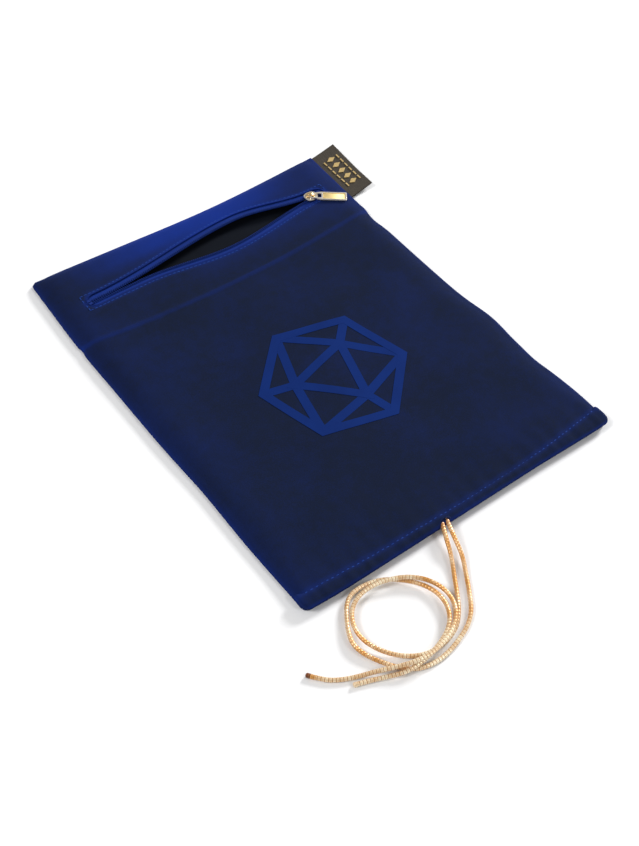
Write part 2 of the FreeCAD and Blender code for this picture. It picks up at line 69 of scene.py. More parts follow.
ZIP_Y = 96.0
WINDOW_LEFT, WINDOW_RIGHT = -84.0, 82.0
ZIP_LEFT, ZIP_RIGHT = -81.5, 80.0
UPPER_LIP = (-75.0, 22.0, 76.0, 9.8)      # left foot, widest point, right foot, opening
LOWER_LIP = (-50.0, 10.0, 76.0, -7.0)
LIPS = {"upper": UPPER_LIP, "lower": LOWER_LIP}
COIL_GAP, COIL_WIDTH, TAPE_SHOWN = 0.3, 1.7, 2.6
TAPE_HIDDEN = 9.0         # the tape reaches this far past the coil, mostly under the velvet
COIL_PITCH = 1.25
WINDOW_EDGE = COIL_GAP + COIL_WIDTH + TAPE_SHOWN
WINDOW_ROUND = 6.0        # length of the window's rounded ends

STITCH_MARGIN = 1.6       # from the window's edge to the stitching round it
HEM_STITCH, ZIP_STITCH = 2.9, 2.6
OVERLOCK_INSET, OVERLOCK_HALF, OVERLOCK_STEP = 5.6, 2.2, 1.6

CORD = 2.2
CORD_RIDGE = 1.7          # pitch of the cord's cross ridges
FED_LENGTH = 101.0        # cord inside the bag that comes out as the tails are drawn
EXIT_A = (-17.9, -134.6, 5.3)
EXIT_B = (-15.0, -134.9, 5.3)

SLIDER_AT = (71.8, 96.0)
PULL_ANGLE, PULL_DROOP = math.radians(-35.5), math.radians(2.2)
PULL_Z = YOKE_TOP + 1.6
PULL_PLAY = 0.45          # the tab lies a little to one side on its bridge

LABEL_ROOT, LABEL_FOLD = 94.8, 115.3     # x of the label's root inside the seam, and of its fold
LABEL_NEAR, LABEL_FAR = 86.6, 130.2      # y of its two cut edges
LABEL_SKEW = 0.10         # the label leaves the seam a little off square
LABEL_SWING = 0.055       # its far corner reaches further out than its near one
LABEL_FIGURE_Z = 1.45     # height of the woven figures over the label's underside

EMBLEM_CENTRE, EMBLEM_RADIUS, EMBLEM_LINE = np.array([-3.0, -27.0]), 43.0, 5.0
EMBLEM_FILM = 0.3         # how far the printed bars reach down into the pile

# Sections round the cloth tube: 0 to 1 from the stitch line to the mouth fold, 0 to 1 upwards
FRONT_SECTION = [
    (0.0, 0.72), (0.10, 0.94), (0.34, 1.0), (0.62, 0.97), (0.84, 0.84), (0.98, 0.58),
    (1.0, 0.30), (0.90, 0.06), (0.62, 0.0), (0.30, 0.02), (0.02, 0.22),
]
BACK_SECTION = [
    (0.0, 0.30), (0.06, 0.80), (0.30, 1.0), (0.62, 1.0), (0.88, 0.92), (1.0, 0.56),
    (0.96, 0.18), (0.80, 0.01), (0.50, 0.0), (0.20, 0.0), (0.02, 0.05),
]

# Routes of the two loose drawstring ends, from the buttonhole to their tips
TAIL_A = [
    EXIT_A, (-22.0, -142.4, 5.2), (-25.1, -150.3, 2.6), (-30.7, -159.2, 1.2),
    (-35.9, -167.3, 1.1), (-41.0, -174.6, 1.1), (-47.2, -180.8, 1.1), (-55.0, -184.0, 1.1),
    (-62.8, -184.7, 1.1), (-70.6, -183.3, 1.1), (-77.4, -179.0, 1.3), (-83.1, -173.2, 1.9),
    (-87.4, -165.7, 2.6), (-88.6, -158.4, 3.0), (-86.7, -150.9, 3.2), (-82.1, -145.4, 3.4),
    (-75.7, -142.3, 3.6), (-67.9, -141.8, 3.9), (-59.6, -143.7, 4.2), (-51.2, -147.6, 4.2),
    (-44.5, -153.6, 3.9), (-40.9, -161.3, 3.6), (-40.7, -169.0, 3.5), (-43.8, -175.9, 3.4),
    (-50.0, -181.3, 3.6), (-59.0, -185.1, 4.6), (-68.6, -186.6, 5.5), (-77.1, -185.3, 5.2),
    (-85.6, -181.6, 3.9), (-93.1, -177.5, 2.2), (-101.3, -174.3, 1.3), (-109.0, -170.6, 1.1),
    (-114.4, -166.5, 1.1), (-119.2, -160.1, 1.1),
]
TAIL_B = [
    EXIT_B, (-18.2, -143.9, 5.0), (-20.7, -153.5, 2.6), (-26.0, -162.6, 1.2),
    (-31.1, -170.8, 1.1), (-36.1, -178.1, 1.1), (-42.4, -183.4, 1.1), (-51.0, -186.9, 1.1),
    (-60.7, -189.4, 1.1), (-69.8, -189.5, 1.1), (-77.4, -187.1, 1.1), (-83.7, -181.3, 1.2),
    (-88.1, -175.0, 1.6), (-92.0, -167.9, 2.0), (-93.5, -160.7, 2.4), (-91.0, -153.9, 2.6),
    (-87.1, -147.8, 2.6), (-83.2, -142.4, 2.6), (-77.8, -138.8, 2.4), (-70.3, -138.3, 2.0),
    (-61.3, -140.4, 1.7), (-54.5, -145.3, 1.6), (-48.7, -151.4, 1.9), (-44.9, -158.8, 2.4),
    (-44.1, -166.9, 2.9), (-46.7, -174.4, 3.2), (-51.7, -179.8, 3.3), (-58.9, -183.4, 3.3),
    (-66.8, -185.6, 3.3), (-75.1, -186.6, 3.3), (-83.1, -185.8, 2.7), (-90.4, -182.3, 1.4),
    (-97.8, -179.0, 1.1), (-104.8, -176.6, 1.1),
]


# ---- Camera ----
def make_camera():
    """The camera looks from the front left, about 51 degrees up."""
    eye, target, roll = Vector((-275.3, -363.3, 497.6)), Vector((-26.3, -45.3, 0.0)), 1.69
    data = bpy.data.cameras.new("camera")
    data.lens = 51.58
    data.sensor_width = 36.0
    data.clip_start, data.clip_end = 0.01, 20.0
    camera = bpy.data.objects.new("camera", data)
    look = (target - eye).to_track_quat("-Z", "Y").to_matrix()
    turn = Matrix.Rotation(math.radians(roll), 3, "Z")
    camera.matrix_world = Matrix.Translation(eye * MM) @ (look @ turn).to_4x4()
    bpy.context.scene.collection.objects.link(camera)
    bpy.context.scene.camera = camera


# ---- Numbers that vary over the cloth ----
def smooth(t):
    """Runs from 0 to 1 without a corner as t does."""
    t = np.clip(t, 0.0, 1.0)
    return t * t * (3 - 2 * t)


def bump_at(distance, width):
    """A soft bump of height 1 where the distance is 0."""
    return np.exp(-(distance / width) ** 2)


def left_edge(y):
    """The left side seam: bowed out a little, with slack waves and a nick at the yoke seam."""
    bow = -2.3 * (1 - (y / HALF_LENGTH) ** 2)
    slack = 1.1 * bump_at(y + 48.0, 28.0) - 0.9 * bump_at(y - 76.0, 36.0)
    return -100.6 + bow + slack + 0.7 * bump_at(y - 70.5, 2.6) + corner_round(y)


def right_edge(y):
    """The right side seam: drawn in a little, with the shallow waves of a sewn seam."""
    bow = -3.6 * (1 - (y / HALF_LENGTH) ** 2)
    slack = 2.5 * bump_at(y + 42.0, 17.0) - 0.8 * bump_at(y + 80.0, 9.0)
    slack = slack + 0.3 * bump_at(y + 106.0, 12.0)
    nick = -1.3 * bump_at(y - 62.0, 8.0) + 0.4 * bump_at(y - 73.0, 3.0) - 0.9 * bump_at(y + 130.0, 10.0)
    return 99.2 + bow + slack + nick - corner_round(y)


def corner_round(y):
    """How far the base corners' rounding draws a side seam in."""
    return corner_cut(np.clip(HALF_LENGTH - 0.6 - y, 0, None), 2.6)


def corner_cut(inset, radius):
    """How far a rounded corner of that radius cuts in, at a distance from the end."""
    share = np.clip(1 - inset / radius, 0, 1)
    return radius * (1 - np.sqrt(1 - share ** 2))


def base_edge(x):
    """The base seam, drawn in towards the zip."""
    bow = 3.4 * (1 - (np.minimum(np.abs(x - 5.0), 105.0) / 105.0) ** 1.6)
    return HALF_LENGTH - 0.4 - bow - 2.2 * bump_at(x - 38.0, 72.0)


def seam_y(x):
    """The yoke seam: it bows towards the mouth, with a small hook at each end."""
    hooks = 2.4 * bump_at(x + 104.0, 12.0) + 1.8 * bump_at(x - 99.0, 10.0)
    return YOKE_SEAM_Y + 0.00068 * x ** 2 + hooks


def yoke_line(x):
    """Where the yoke and the panel below it meet, just past their seam."""
    return seam_y(x) + SEAM_LAP


def hem_y(x):
    """The hem's stitch line, drawn towards the mouth in the middle."""
    bow = 4.0 * (1 - np.clip(np.abs(x - 8.0) / 104.0, 0, 1) ** 2)
    return -127.2 - bow + 1.4 * smooth((x - 55.0) / 40.0)


def fold_y(x):
    """The mouth edge of the front channel, swung back a little at its left end."""
    return FOLD_Y + 1.2 * bump_at(x + 104.0, 16.0) - 0.9 * smooth((x - 40.0) / 50.0)


def lip_offset(lip, x):
    """How far a lip of the zip stands open at x."""
    left, widest, right, opening = lip
    along = np.where(x < widest, (x - left) / (widest - left), (right - x) / (right - widest))
    return opening * smooth(along)


def lip_y(lip, x, offset):
    """The line that keeps an offset from a lip's edge, away from the zip's opening."""
    return ZIP_Y + lip_offset(lip, x) + math.copysign(1.0, lip[3]) * offset


def window_edge(x):
    """How far the velvet's edge stands off a lip's line: less at the window's rounded ends."""
    inset = np.minimum(np.asarray(x, float) - WINDOW_LEFT, WINDOW_RIGHT - np.asarray(x, float))
    share = np.clip(1 - inset / WINDOW_ROUND, 0, 1)
    return WINDOW_EDGE * np.sqrt(1 - share ** 2)


def window_distance(x, y):
    """Distance from the velvet's edge round the zip window, over the velvet."""
    above = y - lip_y(UPPER_LIP, x, window_edge(x))
    below = lip_y(LOWER_LIP, x, window_edge(x)) - y
    ends = np.maximum(WINDOW_LEFT - x, x - WINDOW_RIGHT)
    return np.maximum(np.maximum(above, below), ends)


def edge_distance(x, y):
    """Distance from the nearest side or base seam."""
    return np.minimum(np.minimum(x - left_edge(y), right_edge(y) - x), base_edge(x) - y)


def pillow(t):
    """Profile of the front beside a seam: steep at first, then level."""
    return 1 - (1 - np.clip(t, 0, 1)) ** 2.6


def front_z(x, y):
    """Height of the front's outer face."""
    x, y = np.asarray(x, float), np.asarray(y, float)
    crown = YOKE_TOP + (HEM_TOP - YOKE_TOP) * smooth((YOKE_SEAM_Y - y) / 190.0)
    run = PILLOW_RUN - 9.0 * smooth((-y - 95.0) / 35.0)         # the seams are flatter near the hem
    sides = pillow((x - left_edge(y)) / run) * pillow((right_edge(y) - x) / run)
    shape = sides * pillow((base_edge(x) - y) / 13.0)
    waves = (0.40 * np.sin(x / 27.0 + 0.6) * np.cos(y / 33.0 + 0.4)
             + 0.28 * np.sin(x / 13.0 + y / 21.0) * np.sin(y / 17.0 - 0.8)
             + 0.14 * np.sin(x / 7.5 - y / 11.0))
    calm = 1 - 0.8 * smooth((y - 58.0) / 12.0)                  # the pocket lies smoother
    pucker = 0.22 * np.sin(x * 2 * math.pi / 11.0 + 0.8 * np.sin(x / 9.0))
    pucker = pucker * np.exp(-np.clip(y - hem_y(x), 0, None) / 13.0)
    z = RIM + (crown - RIM) * shape + (waves * calm + pucker) * shape
    from_seam = y - seam_y(x)
    z = z + (0.75 * bump_at(from_seam - 1.1, 1.1) - 0.55 * bump_at(from_seam + 0.7, 0.7)) * shape
    z = z - 0.55 * bump_at(y - hem_y(x), 1.0) * shape           # drawn down by the hem's stitches
    window = window_distance(x, y)
    z = z - 0.30 * bump_at(window - STITCH_MARGIN, 0.8) + 0.25 * bump_at(window, 0.9)
    seam_roll = edge_distance(x, y)
    return z + 0.55 * bump_at(seam_roll - 1.4, 1.0) * np.clip(seam_roll / 0.5, 0, 1)


def back_z(x, y):
    """Height of the back panel's underside: flat, with edges that turn up into the seams."""
    return 1.1 * bump_at(edge_distance(x, y), 2.6)


def painted_light(x, y):
    """Painted sheen on the velvet: how much brighter blue is painted in at the seams, edges, hem and
    zip, above the zip and on the yoke, 0 none, 1 brightest.
    """
    inside = np.clip(edge_distance(x, y), 0, None)
    edge = 0.30 * np.exp(-inside / 1.2) + 0.10 * np.exp(-inside / 7.0)
    seam = 0.34 * bump_at(y - seam_y(x) - 0.8, 0.9)
    hem = 0.26 * bump_at(y - hem_y(x), 1.7)
    window = window_distance(x, y)
    zip_edge = 0.50 * np.exp(-np.abs(window) / 1.3) + 0.18 * bump_at(window - STITCH_MARGIN, 1.0)
    above_zip = 0.66 * smooth((y - 102.5) / 14.0) * smooth((x + 98.0) / 80.0)
    above_zip = above_zip * (1 - 0.97 * smooth((x - 26.0) / 52.0))
    yoke = 0.16 * smooth((y - YOKE_SEAM_Y - 6.0) / 16.0) * smooth((x + 45.0) / 40.0)
    left_side = 0.04 * smooth((-x - 40.0) / 56.0)
    dull = 0.07 * bump_at(y - seam_y(x) + 5.5, 4.5)
    return np.clip(edge + seam + hem + zip_edge + above_zip + yoke + left_side - dull, 0, 1)


# ---- Mesh helpers ----
def mesh_object(name, points, faces, material, smooth_angle=50.0, values=None):
    """A mesh from points in mm. Values, where given, are stored per point as an attribute that sets how
    much painted light or shade the material adds.
    """
    mesh = bpy.data.meshes.new(name)
    mesh.from_pydata((np.asarray(points, float) * MM).tolist(), [], [tuple(f) for f in faces])
    mesh.validate()
    mesh.shade_smooth()
    mesh.set_sharp_from_angle(angle=math.radians(smooth_angle))
    if values is not None:
        attribute = mesh.attributes.new("painted_light", "FLOAT", "POINT")
        attribute.data.foreach_set("value", np.asarray(values, np.float32))
    mesh.materials.append(material)
    obj = bpy.data.objects.new(name, mesh)
    bpy.context.scene.collection.objects.link(obj)
    return obj


def grid_faces(rows, columns, first=0, flip=False, closed=False):
    """Quads of a grid of points, rows of columns. Closed joins the last column to the first."""
    faces = []
    for i in range(rows - 1):
        for j in range(columns if closed else columns - 1):
            k = (j + 1) % columns
            quad = (first + i * columns + j, first + i * columns + k,
                    first + (i + 1) * columns + k, first + (i + 1) * columns + j)
            faces.append(quad[::-1] if flip else quad)
    return faces


def normals_of(grid):
    """Unit normals at the points of a grid."""
    normal = np.cross(np.gradient(grid, axis=1), np.gradient(grid, axis=0))
    return normal / np.maximum(np.linalg.norm(normal, axis=2, keepdims=True), 1e-9)


def closed_sheet(top, bottom, flip):
    """Points and faces of a thin closed plate between two grids of points."""
    rows, columns = top.shape[:2]
    size = rows * columns
    points = np.concatenate([top.reshape(-1, 3), bottom.reshape(-1, 3)])
    faces = grid_faces(rows, columns, 0, flip) + grid_faces(rows, columns, size, not flip)
    rim = list(range(columns))
    rim += [i * columns + columns - 1 for i in range(1, rows)]
    rim += [(rows - 1) * columns + j for j in range(columns - 2, -1, -1)]
    rim += [i * columns for i in range(rows - 2, 0, -1)]
    for a, b in zip(rim, rim[1:] + rim[:1]):
        quad = (b, a, a + size, b + size)
        faces.append(quad[::-1] if flip else quad)
    return points, faces


def cloth_from_grid(name, grid, thickness, material, values=None, upward=True):
    """A closed sheet of cloth whose shown face is the grid. The other face lies a thickness behind."""
    rows, columns = grid.shape[:2]
    normal = normals_of(grid)
    wanted = 1.0 if upward else -1.0
    if normal[rows // 2, columns // 2, 2] * wanted < 0:
        normal = -normal
    across, down = grid[0, 1] - grid[0, 0], grid[1, 0] - grid[0, 0]
    flip = np.dot(np.cross(across, down), normal[0, 0]) < 0
    points, faces = closed_sheet(grid, grid - normal * thickness, flip)
    if values is None:
        values = np.zeros(rows * columns)
    return mesh_object(name, points, faces, material, values=np.concatenate([values, values]))


def add_piece(name, mesh, material, node):
    """A piece from points and faces, in place of a CAD node."""
    piece = mesh_object(name, *mesh, MATERIALS[material])
    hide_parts(node)
    return piece


def spread(a, b, count):
    """Evenly spaced numbers from a to b."""
    return np.linspace(a, b, count)


def tube_points(path, radius_at, sides):
    """Rings of points round a path, with frames carried along it without twist."""
    path = np.asarray(path, float)
    ahead = np.gradient(path, axis=0)
    ahead /= np.linalg.norm(ahead, axis=1, keepdims=True)
    side = np.cross(ahead[0], (0.0, 0.0, 1.0))
    if np.linalg.norm(side) < 1e-3:
        side = np.cross(ahead[0], (0.0, 1.0, 0.0))
    angles = np.arange(sides) * 2 * math.pi / sides
    rings = []
    for point, way, radius in zip(path, ahead, radius_at):
        side = side - way * np.dot(side, way)
        side /= np.linalg.norm(side)
        up = np.cross(side, way)
        rings.append(point + radius * (np.outer(np.cos(angles), side) + np.outer(np.sin(angles), up)))
    return np.array(rings)


def closed_tube(rings, start, end):
    """Points and faces of a tube through rings of points, closed by a point at each end."""
    count, sides = rings.shape[:2]
    points = np.concatenate([rings.reshape(-1, 3), [start, end]])
    faces = grid_faces(count, sides, closed=True)
    last = (count - 1) * sides
    for j in range(sides):
        k = (j + 1) % sides
        faces.append((count * sides, k, j))
        faces.append((count * sides + 1, last + j, last + k))
    return points, faces


def tube_object(name, path, radius_at, sides, material, values):
    """A cord along a path. Values holds each point's level of painted light and shade, stored as a
    per-point attribute.
    """
    points, faces = closed_tube(tube_points(path, radius_at, sides), path[0], path[-1])
    values = np.concatenate([np.repeat(values, sides), [values[0], values[-1]]])
    tube = mesh_object(name, points, faces, material, values=values)
    store_across(tube, path, sides)
    return tube


def store_across(tube, path, sides):
    """Stores the level direction across a cord per point, for the satin's anisotropic highlights and its
    painted highlight streaks.
    """
    ahead = np.gradient(np.asarray(path, float), axis=0)
    across = np.column_stack([-ahead[:, 1], ahead[:, 0], np.zeros(len(ahead))])
    across /= np.maximum(np.linalg.norm(across, axis=1, keepdims=True), 1e-9)
    across = np.concatenate([np.repeat(across, sides, axis=0), across[:1], across[-1:]])
    attribute = tube.data.attributes.new("across", "FLOAT_VECTOR", "POINT")
    attribute.data.foreach_set("vector", across.astype(np.float32).ravel())


def route_line(name, points, step):
    """Points a step apart along the NURBS spline whose control points are a cord's route."""
    curve = bpy.data.curves.new(name, "CURVE")
    curve.dimensions = "3D"
    curve.resolution_u = 24
    spline = curve.splines.new("NURBS")
    spline.points.add(len(points) - 1)
    for place, point in zip(spline.points, points):
        place.co = (*(c * MM for c in point), 1.0)
    spline.order_u = 3
    spline.use_endpoint_u = True
    holder = bpy.data.objects.new(name, curve)
    line_mesh = bpy.data.meshes.new_from_object(holder)
    line = np.array([v.co for v in line_mesh.vertices], float) / MM
    bpy.data.meshes.remove(line_mesh)
    bpy.data.objects.remove(holder)
    bpy.data.curves.remove(curve)
    reach = np.concatenate([[0], np.cumsum(np.linalg.norm(np.diff(line, axis=0), axis=1))])
    stops = spread(0, reach[-1], int(reach[-1] / step) + 1)
    return np.stack([np.interp(stops, reach, line[:, k]) for k in range(3)], axis=1), reach[-1]


# ---- Baking the cloth's transforms ----
def follow(piece):
    """Bakes a piece's transform into its mesh."""
    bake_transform(piece)


def gather(piece, side):
    """Bakes the transform of one half of the mouth's cloth into its mesh; the left and right halves are
    treated alike."""
    if side == "left":
        follow(piece)
    else:
        follow(piece)


def follow_lip(piece):
    """Bakes the transform of a piece beside a lip into its mesh."""
    follow(piece)


# ---- Materials ----
class Nodes:
    """A small helper for building a material's node tree."""

    def __init__(self, name):
        self.material = bpy.data.materials.new(name)
        self.material.use_nodes = True
        self.tree = self.material.node_tree
        self.shader = self.tree.nodes["Principled BSDF"]

    def add(self, kind, inputs=None, **settings):
        node = self.tree.nodes.new(kind)
        for key, value in settings.items():
            setattr(node, key, value)
        for key, value in (inputs or {}).items():
            self.put(node.inputs[key], value)
        return node

    def put(self, socket, value):
        if isinstance(value, bpy.types.NodeSocket):
            self.tree.links.new(value, socket)
        else:
            socket.default_value = value

    def set(self, **values):
        for key, value in values.items():
            self.put(self.shader.inputs[key.replace("_", " ")], value)

    def place(self):
        return self.add("ShaderNodeTexCoord").outputs["Object"]

    def noise(self, scale, detail=3.0, roughness=0.55):
        inputs = {"Vector": self.place(), "Scale": scale, "Detail": detail, "Roughness": roughness}
        return self.add("ShaderNodeTexNoise", inputs).outputs["Fac"]

    def ramp(self, value, low, high, to_low=0.0, to_high=1.0):
        inputs = {"Value": value, "From Min": low, "From Max": high, "To Min": to_low, "To Max": to_high}
        return self.add("ShaderNodeMapRange", inputs).outputs["Result"]

    def mix(self, factor, a, b):
        node = self.add("ShaderNodeMix", data_type="RGBA")
        self.put(node.inputs[0], factor)
        self.put(node.inputs[6], a)
        self.put(node.inputs[7], b)
        return node.outputs[2]

    def tone(self, scale, low, high, colour, other):
        """A colour that wanders from one to another in patches."""
        return self.mix(self.ramp(self.noise(scale), low, high), (*colour, 1), (*other, 1))

    def math(self, operation, a, b=0.0):
        node = self.add("ShaderNodeMath", operation=operation)
        self.put(node.inputs[0], a)
        self.put(node.inputs[1], b)
        return node.outputs[0]

    def bump(self, height, strength, distance_mm, below=None):
        inputs = {"Height": height, "Strength": strength, "Distance": distance_mm * MM}
        node = self.add("ShaderNodeBump", inputs)
        if below is not None:
            self.put(node.inputs["Normal"], below)
        return node.outputs["Normal"]


def velvet_material():
    """Short pile: navy, turning royal blue where sheen is painted in by the per-point attribute and in
    random patches, with a soft sheen.
    """
    m = Nodes("velvet")
    painted_sheen = m.add("ShaderNodeAttribute", attribute_name="painted_light").outputs["Fac"]
    patches = m.ramp(m.noise(24.0, 4.0, 0.6), 0.42, 0.75, 0.0, 0.12)
    grain = m.ramp(m.noise(1500.0, 2.0, 0.7), 0.3, 0.7, -0.05, 0.06)
    strokes = m.ramp(m.noise(160.0, 3.0, 0.6), 0.35, 0.7, -0.02, 0.04)
    amount = m.math("ADD", m.math("ADD", m.math("ADD", painted_sheen, patches), grain), strokes)
    # painted sheen: the colour runs from navy to royal blue with the painted amount, plus random
    # patches, grain and strokes
    colour = m.mix(m.ramp(amount, 0.0, 1.0), (0.0058, 0.0098, 0.0262, 1), (0.0055, 0.0230, 0.1900, 1))
    pile = m.bump(m.noise(2200.0, 2.0, 0.7), 0.45, 0.25)
    crush = m.bump(m.noise(55.0, 3.0, 0.5), 0.35, 0.8, pile)
    m.set(Base_Color=colour, Roughness=0.92, Normal=crush, Sheen_Weight=0.10, Sheen_Roughness=0.35,
          Sheen_Tint=(0.05, 0.16, 0.90, 1), Specular_IOR_Level=0.06)
    return m.material


def plain_cloth_material(name, colour, other, scale=1400.0):
    m = Nodes(name)
    tone = m.tone(40.0, 0.3, 0.7, colour, other)
    weave_x = m.add("ShaderNodeTexWave", {"Vector": m.place(), "Scale": scale / 3}, bands_direction="X")
    weave_y = m.add("ShaderNodeTexWave", {"Vector": m.place(), "Scale": scale / 3}, bands_direction="Y")
    weave = m.math("MULTIPLY", weave_x.outputs["Fac"], weave_y.outputs["Fac"])
    m.set(Base_Color=tone, Roughness=0.85, Normal=m.bump(weave, 0.4, 0.15), Specular_IOR_Level=0.08,
          Sheen_Weight=0.03, Sheen_Tint=(0.2, 0.35, 1.0, 1))
    return m.material


def thread_material(name, colour, other, gloss=0.08):
    m = Nodes(name)
    m.set(Base_Color=m.tone(900.0, 0.35, 0.65, colour, other), Roughness=0.65,
          Normal=m.bump(m.noise(2600.0), 0.4, 0.08), Specular_IOR_Level=gloss, Sheen_Weight=0.03,
          Sheen_Tint=(0.2, 0.35, 1.0, 1))
    return m.material


def print_material():
    """Heat-pressed film over velvet: brighter and smoother than the pile, with a faint grain."""
    m = Nodes("print_film")
    tone = m.tone(60.0, 0.3, 0.7, (0.0042, 0.0170, 0.104), (0.0046, 0.0205, 0.126))
    m.set(Base_Color=tone, Roughness=0.7, Normal=m.bump(m.noise(1900.0), 0.35, 0.15),
          Specular_IOR_Level=0.03)
    return m.material


def label_material():
    """Grey-brown ribbon with fine ribs along it."""
    m = Nodes("label_cloth")
    ribs = m.add("ShaderNodeTexWave", {"Vector": m.place(), "Scale": 420.0, "Distortion": 0.6},
                 bands_direction="X").outputs["Fac"]
    flecks = m.noise(1300.0, 2.0)
    tone = m.mix(m.ramp(m.math("MULTIPLY", ribs, flecks), 0.05, 0.55),
                 (0.020, 0.016, 0.011, 1), (0.070, 0.056, 0.040, 1))
    m.set(Base_Color=tone, Roughness=0.75, Normal=m.bump(ribs, 0.6, 0.2), Sheen_Weight=0.06,
          Specular_IOR_Level=0.2)
    return m.material


def cord_material():
    """Gold satin: glossy floss over fine cross ridges, with painted shade between them. Stretches that
    run along X are painted lighter as a highlight streak, random patches get painted glints, and the
    floss lies along the cord for real anisotropic highlights."""
    m = Nodes("satin_cord")
    groove = m.add("ShaderNodeAttribute", attribute_name="painted_light").outputs["Fac"]
    across = m.add("ShaderNodeAttribute", attribute_name="across").outputs["Vector"]
    level = m.add("ShaderNodeSeparateXYZ", {"Vector": across}).outputs["Y"]
    # painted highlight: stretches of cord that run along X are painted lighter, as if catching the light
    painted_streak = m.ramp(m.math("ABSOLUTE", level), 0.62, 1.0, 0.0, 0.55)
    # painted glints in random patches
    painted_glints = m.ramp(m.noise(170.0, 4.0, 0.6), 0.42, 0.66, 0.0, 0.6)
    floss = m.mix(m.math("ADD", painted_streak, painted_glints), (0.64, 0.305, 0.070, 1), (1.0, 0.90, 0.68, 1))
    # painted shade in the grooves between the ridges, and near the buttonhole where the level is low
    tone = m.mix(m.ramp(groove, 0.10, 0.72, 0.16, 1.0), (0.33, 0.125, 0.020, 1), floss)
    m.set(Base_Color=tone, Metallic=0.35, Roughness=m.ramp(groove, 0.0, 1.0, 0.5, 0.25), Anisotropic=0.8,
          Tangent=across, Normal=m.bump(m.noise(2400.0), 0.3, 0.08), Coat_Weight=0.4,
          Coat_Roughness=0.2, Coat_Tint=(1.0, 0.93, 0.8, 1), Specular_IOR_Level=0.7)
    return m.material


def burnt_material():
    m = Nodes("melted_cord")
    tone = m.tone(700.0, 0.35, 0.65, (0.050, 0.014, 0.005), (0.21, 0.062, 0.018))
    m.set(Base_Color=tone, Roughness=0.45, Normal=m.bump(m.noise(1100.0), 0.5, 0.2),
          Specular_IOR_Level=0.25)
    return m.material


def gold_material(name, colour, roughness):
    m = Nodes(name)
    wear = m.noise(240.0, 4.0, 0.6)
    fine = m.noise(2600.0, 2.0)
    worn = tuple(c * 0.86 for c in colour)
    m.set(Base_Color=m.mix(m.ramp(wear, 0.35, 0.7), (*colour, 1), (*worn, 1)), Metallic=1.0,
          Roughness=m.ramp(wear, 0.3, 0.7, roughness - 0.05, roughness + 0.10),
          Normal=m.bump(fine, 0.08, 0.04))
    return m.material


def floor_material():
    m = Nodes("floor")
    m.set(Base_Color=(0.82, 0.82, 0.825, 1), Roughness=0.9, Specular_IOR_Level=0.1)
    return m.material


# ---- Cords ----
def cord_line(name, route, step):
    """A cord's centre line in steps, the way along it, and how high each step is on its ridges."""
    line, length = route_line(name, route, step)
    along = np.arange(len(line)) * length / (len(line) - 1)
    return line, along, np.abs(np.sin(along * math.pi / CORD_RIDGE))


def make_tail(name, points, node, tip_material):
    """One loose end: satin cord with fine cross ridges, and a heat-sealed tip."""
    line, along, ridge = cord_line(name, points, 0.2)
    radius = CORD / 2 * (0.95 + 0.085 * ridge) + 0.02 * np.sin(along / 6.0)
    shade = ridge * (0.15 + 0.85 * smooth((along - 1.0) / 6.0))       # painted shade, deepest where the cord comes out of the buttonhole
    tail = tube_object(name, line, radius, 16, MATERIALS["cord"], shade)
    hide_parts(node)
    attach(tail, "tails")
    tip_line = line[-9:]
    way = (tip_line[-1] - tip_line[0]) / np.linalg.norm(tip_line[-1] - tip_line[0])
    tip_line = np.concatenate([tip_line, [tip_line[-1] + way * k for k in (0.2, 0.45, 0.65)]])
    tip_radius = np.concatenate([spread(1.13, 1.2, 9), [1.1, 0.8, 0.35]])
    tip = tube_object(name + "_tip", tip_line, tip_radius, 16, MATERIALS[tip_material],
                      np.full(len(tip_line), 0.6))
    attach(tip, "tails")


def make_feed(name, exit_point):
    """The next stretch of a cord end, inside the bag, which comes out as the tails are drawn."""
    x, y, z = exit_point
    places = [(0.3, 0.0), (5, -0.9), (12, -1.3), (FED_LENGTH - 13, -1.3), (FED_LENGTH - 6, -0.7),
              (FED_LENGTH, -0.15)]
    line, _, ridge = cord_line(name, [(x, y + inward, z + up) for inward, up in places], 0.3)
    feed = tube_object(name, line, CORD / 2 * (0.95 + 0.09 * ridge), 12, MATERIALS["cord"], ridge)
    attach(feed, "tails")


def make_channel_cord(name, exit_point, side, node):
    """Half of the cord in the channel: along the front, round the side, and back along the rear."""
    x, y, _ = exit_point

    def spot(x_here, height):
        return (x_here, (float(hem_y(x_here)) + float(fold_y(x_here))) / 2 + 0.2, height)

    high, low, turn = (HEM_SPLIT_Z + CREST_Z) / 2 - 0.05, HEM_SPLIT_Z / 2, side * 94.6
    route = [(x, y + 0.9, high), (x + side * 1.5, *spot(x, high)[1:])]
    route += [spot(side * k, high) for k in (34, 50, 66, 82)]
    route += [spot(turn, high), spot(turn, low)]
    route += [spot(side * k, low) for k in (82, 66, 50, 34, 18, 2)]
    line, _, ridge = cord_line(name, route, 0.35)
    run = tube_object(name, line, CORD / 2 * (0.82 + 0.07 * ridge), 12, MATERIALS["cord"], ridge)
    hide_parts(node)
    gather(run, "left" if side < 0 else "right")


# ---- Panels ----
def half_grid(side, y_low, y_high, rows, columns, height):
    """A grid over one half of the bag, split at the gather. The rows run from mouth to base."""
    v = spread(0, 1, rows)[:, None]
    u = spread(0, 1, columns)[None, :]
    edge = left_edge if side == "left" else right_edge
    outer = edge(-128 + v * 190)
    for _ in range(3):
        x = outer + (SPLIT_X - outer) * u if side == "left" else SPLIT_X + (outer - SPLIT_X) * u
        y = y_low(x) + v * (y_high(x) - y_low(x))
        outer = edge(y[:, :1] if side == "left" else y[:, -1:])
    return np.stack([x, y, height(x, y)], axis=2)


